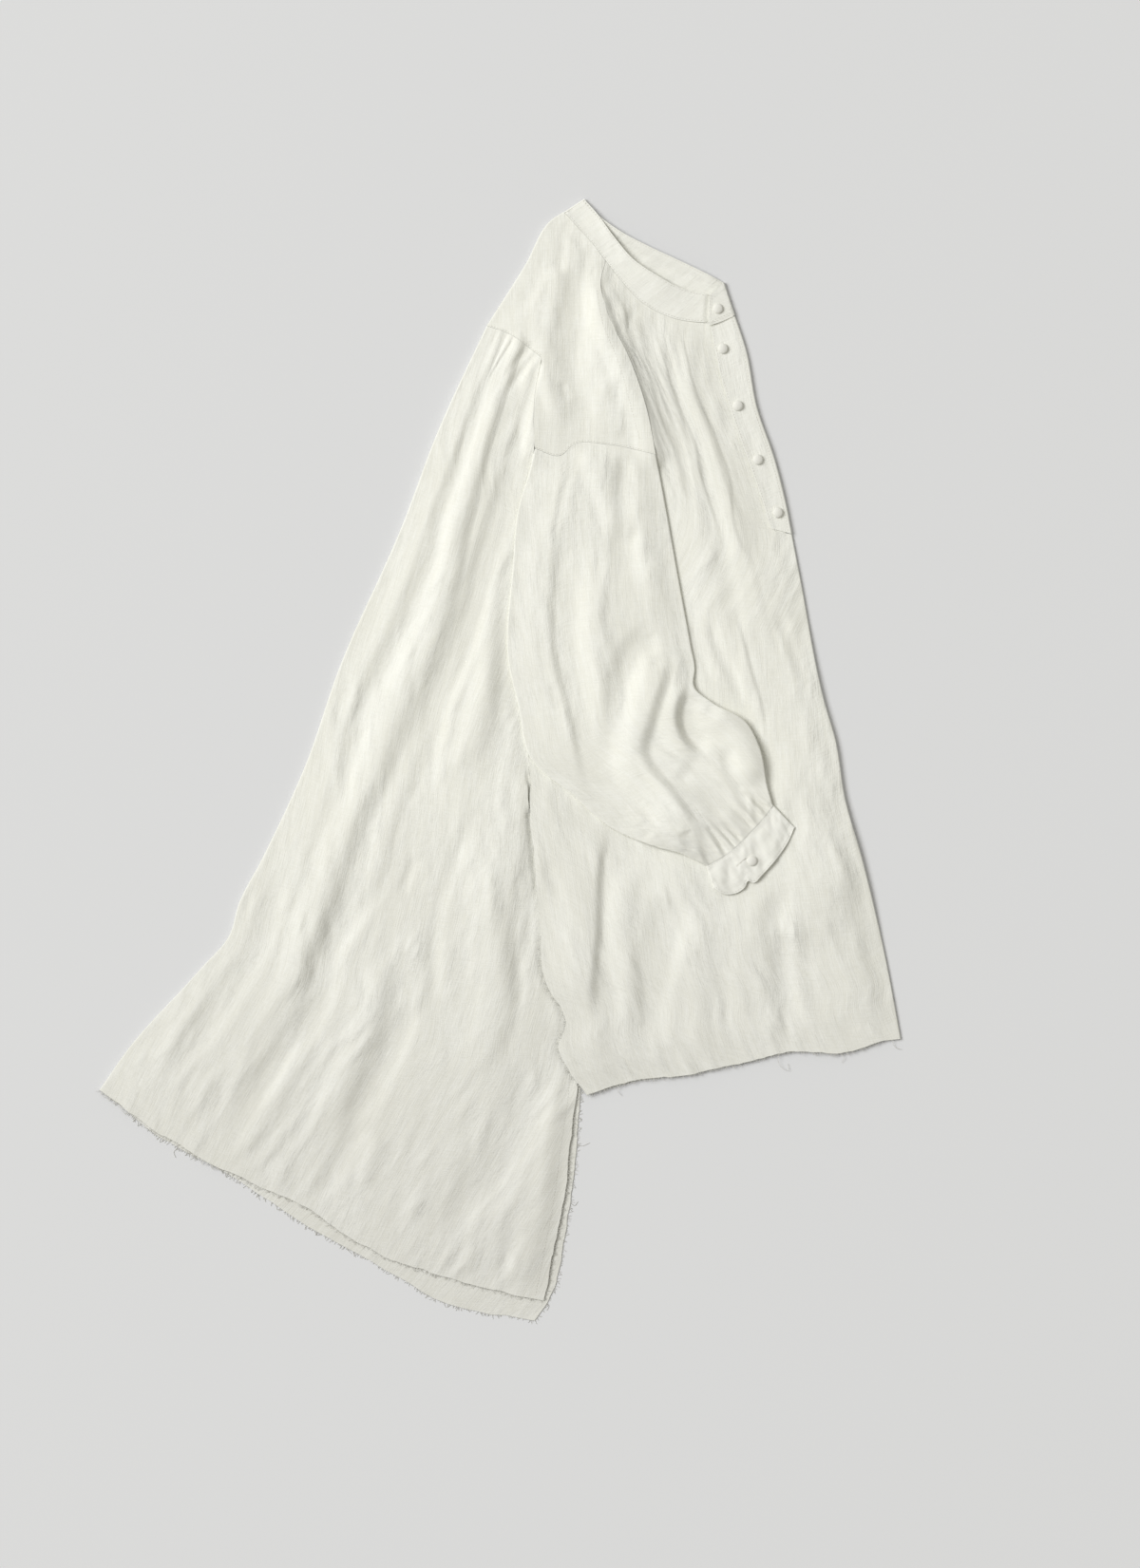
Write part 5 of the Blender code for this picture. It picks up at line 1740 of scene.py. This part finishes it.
@dataclass
class CoveredButton:
    """A small domed button covered in the shirt's linen, shaped from a disc."""

    node: str
    faces_down: bool = False
    diameter: float = BUTTON_DIAMETER
    height: float = BUTTON_HEIGHT
    sides: int = 28

    def dome(self) -> bpy.types.Object:
        """The button's form, at the middle of the frame.

        Returns:
            The unfinished piece.
        """
        radius, height = self.diameter / 2 * MM, self.height * MM
        foot, foot_height = radius * BUTTON_FOOT[0], height * BUTTON_FOOT[1]
        bpy.ops.object.select_all(action="DESELECT")
        bpy.ops.mesh.primitive_cylinder_add(
            vertices=self.sides, radius=foot, depth=foot_height, end_fill_type="NGON",
            location=(0, 0, foot_height / 2),
        )
        piece = bpy.context.object
        bpy.ops.object.mode_set(mode="EDIT")
        bpy.ops.mesh.select_mode(type="FACE")
        bpy.ops.mesh.select_all(action="DESELECT")
        shape = bmesh.from_edit_mesh(piece.data)
        max(shape.faces, key=lambda face: face.calc_center_median().z).select = True
        bmesh.update_edit_mesh(piece.data)
        for share, rise in BUTTON_RINGS:
            bpy.ops.mesh.extrude_region_move(TRANSFORM_OT_translate={"value": (0, 0, rise * height)})
            bpy.ops.transform.resize(value=(share, share, 1))
        bpy.ops.mesh.poke()
        bpy.ops.object.mode_set(mode="OBJECT")
        smoother = piece.modifiers.new("round", "SUBSURF")
        smoother.levels = smoother.render_levels = 1
        bpy.ops.object.modifier_apply(modifier=smoother.name)
        return piece

    def build(self) -> bpy.types.Object:
        """Model the button in place of its node.

        Returns:
            The finished piece.
        """
        low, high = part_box(self.node)
        piece, seat = self.dome(), (low + high) / 2
        piece.name = f"{self.node}_cover"
        mesh = piece.data
        layer = mesh.uv_layers.active or mesh.uv_layers.new()
        layer.name = "grain"
        for data, loop in zip(layer.data, mesh.loops):
            data.uv = mesh.vertices[loop.vertex_index].co.xy
        for vertex in mesh.vertices:
            if self.faces_down:
                vertex.co = Vector((vertex.co.x, -vertex.co.y, self.height * MM - vertex.co.z))
            vertex.co += Vector((seat.x, seat.y, low.z))
        piece.location = (0, 0, 0)
        dress(piece, BUTTON_FINISH, self.node)
        return piece


@dataclass
class Surface:
    """The upper side of a finished piece, for what is sewn onto it."""

    piece: bpy.types.Object
    place: Place
    look_from: float = 0.2

    def __post_init__(self) -> None:
        """Prepare to look down onto the piece."""
        self.tree = BVHTree.FromObject(self.piece, bpy.context.evaluated_depsgraph_get())

    def under(self, point: Array) -> Vector | None:
        """The highest place of the piece below a plan point, in metres, if there is one."""
        x, y, _ = self.place.metres(np.append(point, 0.0))
        return self.tree.ray_cast(Vector((x, y, self.look_from)), Vector((0, 0, -1)))[0]


@dataclass
class Sewing:
    """Lines of small stitches on one piece. Sizes are in millimetres."""

    piece: bpy.types.Object
    lines: tuple[Array, ...]
    first_at: float = 0.8
    pitch: float = 3.0
    length: float = 2.1
    width: float = 0.5
    rise: float = 0.09

    def stitch(self, first: Array, last: Array) -> list[Array]:
        """A stitch's two ends, and the four corners round its middle.

        Args:
            first: Where it comes out of the cloth.
            last: Where it goes back in.

        Returns:
            Its six points.
        """
        middle = (first + last) / 2 + np.array([0, 0, self.rise * MM])
        across = np.array([-(last - first)[1], (last - first)[0], 0.0])
        across *= self.width / 2 * MM / max(np.linalg.norm(across), TINY)
        down = np.array([0, 0, -self.rise * MM])
        return [first, last, middle + across + down, middle - across + down, middle, middle + 2 * down]

    def build(self, place: Place) -> bpy.types.Object:
        """Lay the stitches along the lines as one mesh.

        Args:
            place: Where the tables' middle lies.

        Returns:
            The stitches.
        """
        surface = Surface(self.piece, place)
        points, faces = [], []
        for line in self.lines:
            run = run_of(line)
            for start in np.arange(self.first_at, run[-1] - self.length, self.pitch):
                ends = [surface.under(place_at(line, run, start + part)) for part in (0, self.length)]
                if None in ends:
                    continue
                base = len(points)
                points += self.stitch(*(np.array(end) for end in ends))
                for a, b in STITCH_SIDES:
                    faces += [(base, base + b, base + a), (base + 1, base + a, base + b)]
        piece = new_piece(f"{self.piece.name}_stitches", points, faces)
        shape = bmesh.new()
        shape.from_mesh(piece.data)
        bmesh.ops.recalc_face_normals(shape, faces=shape.faces)
        shape.to_mesh(piece.data)
        shape.free()
        dress(piece, THREAD_FINISH)
        return piece


@dataclass
class Fray:
    """Loose ends of threads along a raw edge, and a few longer strays. Sizes are in millimetres."""

    piece: bpy.types.Object
    edges: tuple[Array, ...]
    strays: tuple[Line, ...] = ()
    spacing: float = 1.1
    jitter: float = 0.7
    root: float = 0.9
    length: float = 4.2
    shortest: float = 0.15
    bend: float = 0.6
    radius: float = 0.2
    lowest: float = 0.3
    stray_height: float = 1.5
    stray_drops: tuple[float, float] = (0.2, 3.5)
    seed: int = 5

    def tube(self, path: Array, points: list[Array], faces: list[tuple[int, ...]]) -> None:
        """Add a thin three-sided thread through a path to the lists.

        Args:
            path: Its points, in metres.
            points: The list of points.
            faces: The list of faces.
        """
        base = len(points)
        for place, along in zip(path, np.gradient(path, axis=0)):
            across = np.cross(along, (0.0, 0.0, 1.0))
            across /= max(np.linalg.norm(across), TINY)
            up = np.cross(across, along) / max(np.linalg.norm(along), TINY)
            for angle in THREAD_ANGLES:
                points.append(place + self.radius * MM * (across * math.cos(angle) + up * math.sin(angle)))
        for ring in range(len(path) - 1):
            for side in range(3):
                a, b = base + 3 * ring + side, base + 3 * ring + (side + 1) % 3
                faces.append((a, b, b + 3, a + 3))

    def thread(self, start: Array, out: Array, height: float, place: Place,
               random: np.random.Generator) -> Array:
        """The path of one loose thread, which bends aside and droops.

        Args:
            start: Its root on the cloth.
            out: The way out over the edge, of length 1.
            height: The cloth's height there, in metres.
            place: Where the tables' middle lies.
            random: The source of its length and bend.

        Returns:
            Its points, in metres.
        """
        side = np.array([-out[1], out[0]])
        reach = self.root + self.length * random.uniform(self.shortest, 1) ** 2
        bend = random.uniform(-self.bend, self.bend, 2)
        path = []
        for t, drop in THREAD_DROPS:
            aside = reach * (bend[0] * t + bend[1] * t * t) * side
            point = place.metres(np.append(start + reach * t * out + aside, 0))
            point[2] = max(height - drop * MM, self.lowest * MM)
            path.append(point)
        return np.array(path)

    def build(self, place: Place) -> bpy.types.Object:
        """Make all threads as one mesh.

        Args:
            place: Where the tables' middle lies.

        Returns:
            The threads.
        """
        surface, random = Surface(self.piece, place), np.random.default_rng(self.seed)
        points, faces = [], []
        for edge in self.edges:
            run, inner = run_of(edge), inset(edge, self.root)
            spots = np.arange(1, run[-1] - 1, self.spacing)
            for at in spots + random.uniform(-self.jitter, self.jitter, len(spots)):
                start = place_at(inner, run, at)
                out = place_at(edge, run, at) - start
                found = surface.under(start)
                if found is not None:
                    out = out / max(np.linalg.norm(out), TINY)
                    self.tube(self.thread(start, out, found.z, place, random), points, faces)
        for stray in self.strays:
            line = curve(stray, 10)
            found = surface.under(line[0])
            height = found.z if found else self.stray_height * MM
            path = place.metres(np.concatenate([line, np.zeros((len(line), 1))], axis=1))
            drops = np.linspace(*self.stray_drops, len(line)) * MM
            path[:, 2] = np.maximum(height - drops, self.lowest * MM)
            self.tube(path, points, faces)
        piece = new_piece(f"{self.piece.name}_threads", points, faces)
        dress(piece, YARN_FINISH)
        return piece


@dataclass(frozen=True)
class Studio:
    """The pale floor, the soft light from the upper left and the camera straight above."""

    floor_colour: Colour = (0.732, 0.738, 0.752)
    floor_roughness: float = 0.9
    floor_specular: float = 0.1
    floor_size: float = 40
    floor_drop: float = 0.0002
    picture_rows: int = 1651
    pixel: float = 0.95
    picture_middle: tuple[float, float] = (70.3, -24.2)
    camera_distance: float = 8.0
    camera_reach: float = 100
    sensor: float = 36.0
    key_place: tuple[float, float, float] = (-19.8, 8.0, 23.6)
    key_size: float = 19.0
    key_power: float = 7900.0
    fill_strength: float = 0.42
    fill_colour: Colour = (1.0, 0.98, 0.91)

    def floor(self) -> None:
        """A wide plain floor."""
        bpy.ops.object.select_all(action="DESELECT")
        bpy.ops.mesh.primitive_plane_add(size=self.floor_size, location=(0, 0, -self.floor_drop))
        floor = bpy.context.object
        floor.name = "floor"
        tree = NodeTree("floor")
        tree.fill(tree.shader, {
            "Base Color": (*self.floor_colour, 1), "Roughness": self.floor_roughness,
            "Specular IOR Level": self.floor_specular,
        })
        floor.data.materials.append(tree.material)

    def lights(self) -> None:
        """A soft key from the upper left and an even fill from all round."""
        data = bpy.data.lights.new("key", "AREA")
        data.shape, data.size, data.energy = "DISK", self.key_size, self.key_power
        light = bpy.data.objects.new("key", data)
        light.location = self.key_place
        light.rotation_euler = (-Vector(self.key_place)).to_track_quat("-Z", "Y").to_euler()
        bpy.context.scene.collection.objects.link(light)
        world = bpy.data.worlds.new("studio")
        world.use_nodes = True
        background = world.node_tree.nodes["Background"]
        background.inputs["Color"].default_value = (*self.fill_colour, 1)
        background.inputs["Strength"].default_value = self.fill_strength
        bpy.context.scene.world = world
        bpy.context.scene.view_settings.view_transform = "Standard"

    def camera(self, place: Place) -> None:
        """A long lens that looks straight down.

        Args:
            place: Where the tables' middle lies.
        """
        data = bpy.data.cameras.new("camera")
        data.sensor_width = self.sensor
        data.lens = self.sensor * self.camera_distance / (self.picture_rows * self.pixel * MM)
        data.clip_end = self.camera_reach
        camera = bpy.data.objects.new("camera", data)
        right, up = self.picture_middle
        camera.location = (right * MM + place.right, up * MM + place.up, self.camera_distance)
        bpy.context.scene.collection.objects.link(camera)
        bpy.context.scene.camera = camera

    def build(self, place: Place) -> None:
        """Floor, lights and camera.

        Args:
            place: Where the tables' middle lies.
        """
        self.floor()
        self.lights()
        self.camera(place)


@dataclass(frozen=True)
class StitchRow:
    """A row of stitches: its node, how far to the left of some joined lines it runs, and their steps."""

    node: str
    aside: float
    lines: tuple[Line, ...]
    steps: tuple[int, ...]

    def path(self) -> Array:
        """The row's own line."""
        return inset(joined(self.lines, self.steps), self.aside)


STITCH_ROWS = (
    StitchRow("yoke", 0.0, (YOKE_STITCHES,), (60,)),
    StitchRow("yoke", 1.4, (SLEEVE_SEAM,), (60,)),
    StitchRow("yoke", 1.4, (YOKE_SEAM,), (30,)),
    StitchRow("collar", -1.5, (COLLAR_TOP,), (80,)),
    StitchRow("collar", 1.6, (NECK_BACK, NECK_FRONT), (30, 60)),
    StitchRow("collar", -1.5, (COLLAR_TOP_UNDER,), (80,)),
    StitchRow("collar", 1.2, (TAB_EDGE,), (40,)),
    StitchRow("collar", 2.9, (TAB_EDGE,), (40,)),
    StitchRow("placket_over", 1.6, (PLACKET_EDGE,), (60,)),
    StitchRow("placket_over", -3.2, (FOLD_BY_SLIT,), (60,)),
    StitchRow("cuff_right", -1.6, (CUFF_SEAM,), (40,)),
    StitchRow("cuff_right", 1.8, (CUFF_EDGE,), (40,)),
    StitchRow("sleeve_right", 0.0, (SLEEVE_SLIT,), (30,)),
    StitchRow("back", -9.0, (BACK_VENT[3:],), (120,)),
)


def sew(place: Place, pieces: dict[str, bpy.types.Object]) -> dict[str, list[bpy.types.Object]]:
    """Sew the lines that show on each piece, and fray its raw edges.

    Args:
        place: Where the tables' middle lies.
        pieces: The finished cloth by its node's name.

    Returns:
        The stitches and threads on each piece, by the same names.
    """
    sewn = {name: [] for name in pieces}
    for name in dict.fromkeys(row.node for row in STITCH_ROWS):
        paths = tuple(row.path() for row in STITCH_ROWS if row.node == name)
        sewn[name].append(Sewing(pieces[name], paths).build(place))
    hole = Sewing(pieces["cuff_right"], (curve(CUFF_BUTTONHOLE, 8),), pitch=0.6, length=0.5, width=1.8)
    sewn["cuff_right"].append(hole.build(place))
    back = (
        RAW_BACK_HEM.wavy(200), RAW_BACK_HEM_UNDER.wavy(200), RAW_BACK_VENT.wavy(200)[:80:-1],
        RAW_BACK_VENT_UNDER.wavy(200)[:80:-1],
    )
    front = (RAW_FRONT_HEM.wavy(160), RAW_FRONT_VENT.wavy(100)[50:])
    for name, fray in (
        ("back", Fray(pieces["back"], back, BACK_STRAYS)),
        ("front", Fray(pieces["front"], front, FRONT_STRAYS, seed=6)),
        ("collar", Fray(pieces["collar"], (curve(RAW_COLLAR, 30)[::-1],), length=1.6)),
    ):
        sewn[name].append(fray.build(place))
    return sewn


def main() -> None:
    """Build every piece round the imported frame."""
    logging.basicConfig(level=logging.INFO, format="%(message)s")
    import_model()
    place = Place.from_frame()
    Studio().build(place)
    cloths = (
        Back("back", BODY_LINEN, CLOTH, Hold.FOLDED, (0.89, 0.99), 0.50),
        Yoke("yoke", BODY_LINEN, CLOTH, Hold.FOLDED, (0.30, 0.26), 0.045),
        Front("front", BODY_LINEN, CLOTH, Hold.FOLDED, (0.66, 0.80), 0.37),
        Sleeve("sleeve_right", BODY_LINEN, CLOTH, Hold.GATHERED, (0.37, 0.48), 0.15),
        Sleeve("sleeve_left", BODY_LINEN, CLOTH, Hold.GATHERED, (0.34, 0.46), 0.11, rows=60, columns=20,
               shelter=HIDDEN_INSET),
        Cuff("cuff_right", DOUBLED_LINEN, DOUBLED, Hold.FOLDED, (0.18, 0.045), 0.007),
        Cuff("cuff_left", DOUBLED_LINEN, DOUBLED, Hold.FOLDED, (0.12, 0.045), 0.005, rows=8, columns=16,
             shelter=HIDDEN_INSET),
        Collar("collar", DOUBLED_LINEN, COLLAR_CLOTH, Hold.FOLDED, (0.41, 0.035), 0.012),
        Placket("placket_over", DOUBLED_LINEN, DOUBLED, Hold.FOLDED, (0.05, 0.22), 0.010),
        Placket("placket_under", DOUBLED_LINEN, DOUBLED, Hold.LAID, (0.017, 0.22), 0.0035, wraps=False),
    )
    pieces = {cloth.node: cloth.build(place) for cloth in cloths}
    sewn = sew(place, pieces)
    for cloth in cloths:
        cloth.declare(pieces[cloth.node], sewn[cloth.node])
    for node in (*PLACKET_BUTTONS, "button_collar", "button_cuff_right"):
        CoveredButton(node).build()
    CoveredButton("button_cuff_left", faces_down=True).build()


if __name__ == "__main__":
    main()
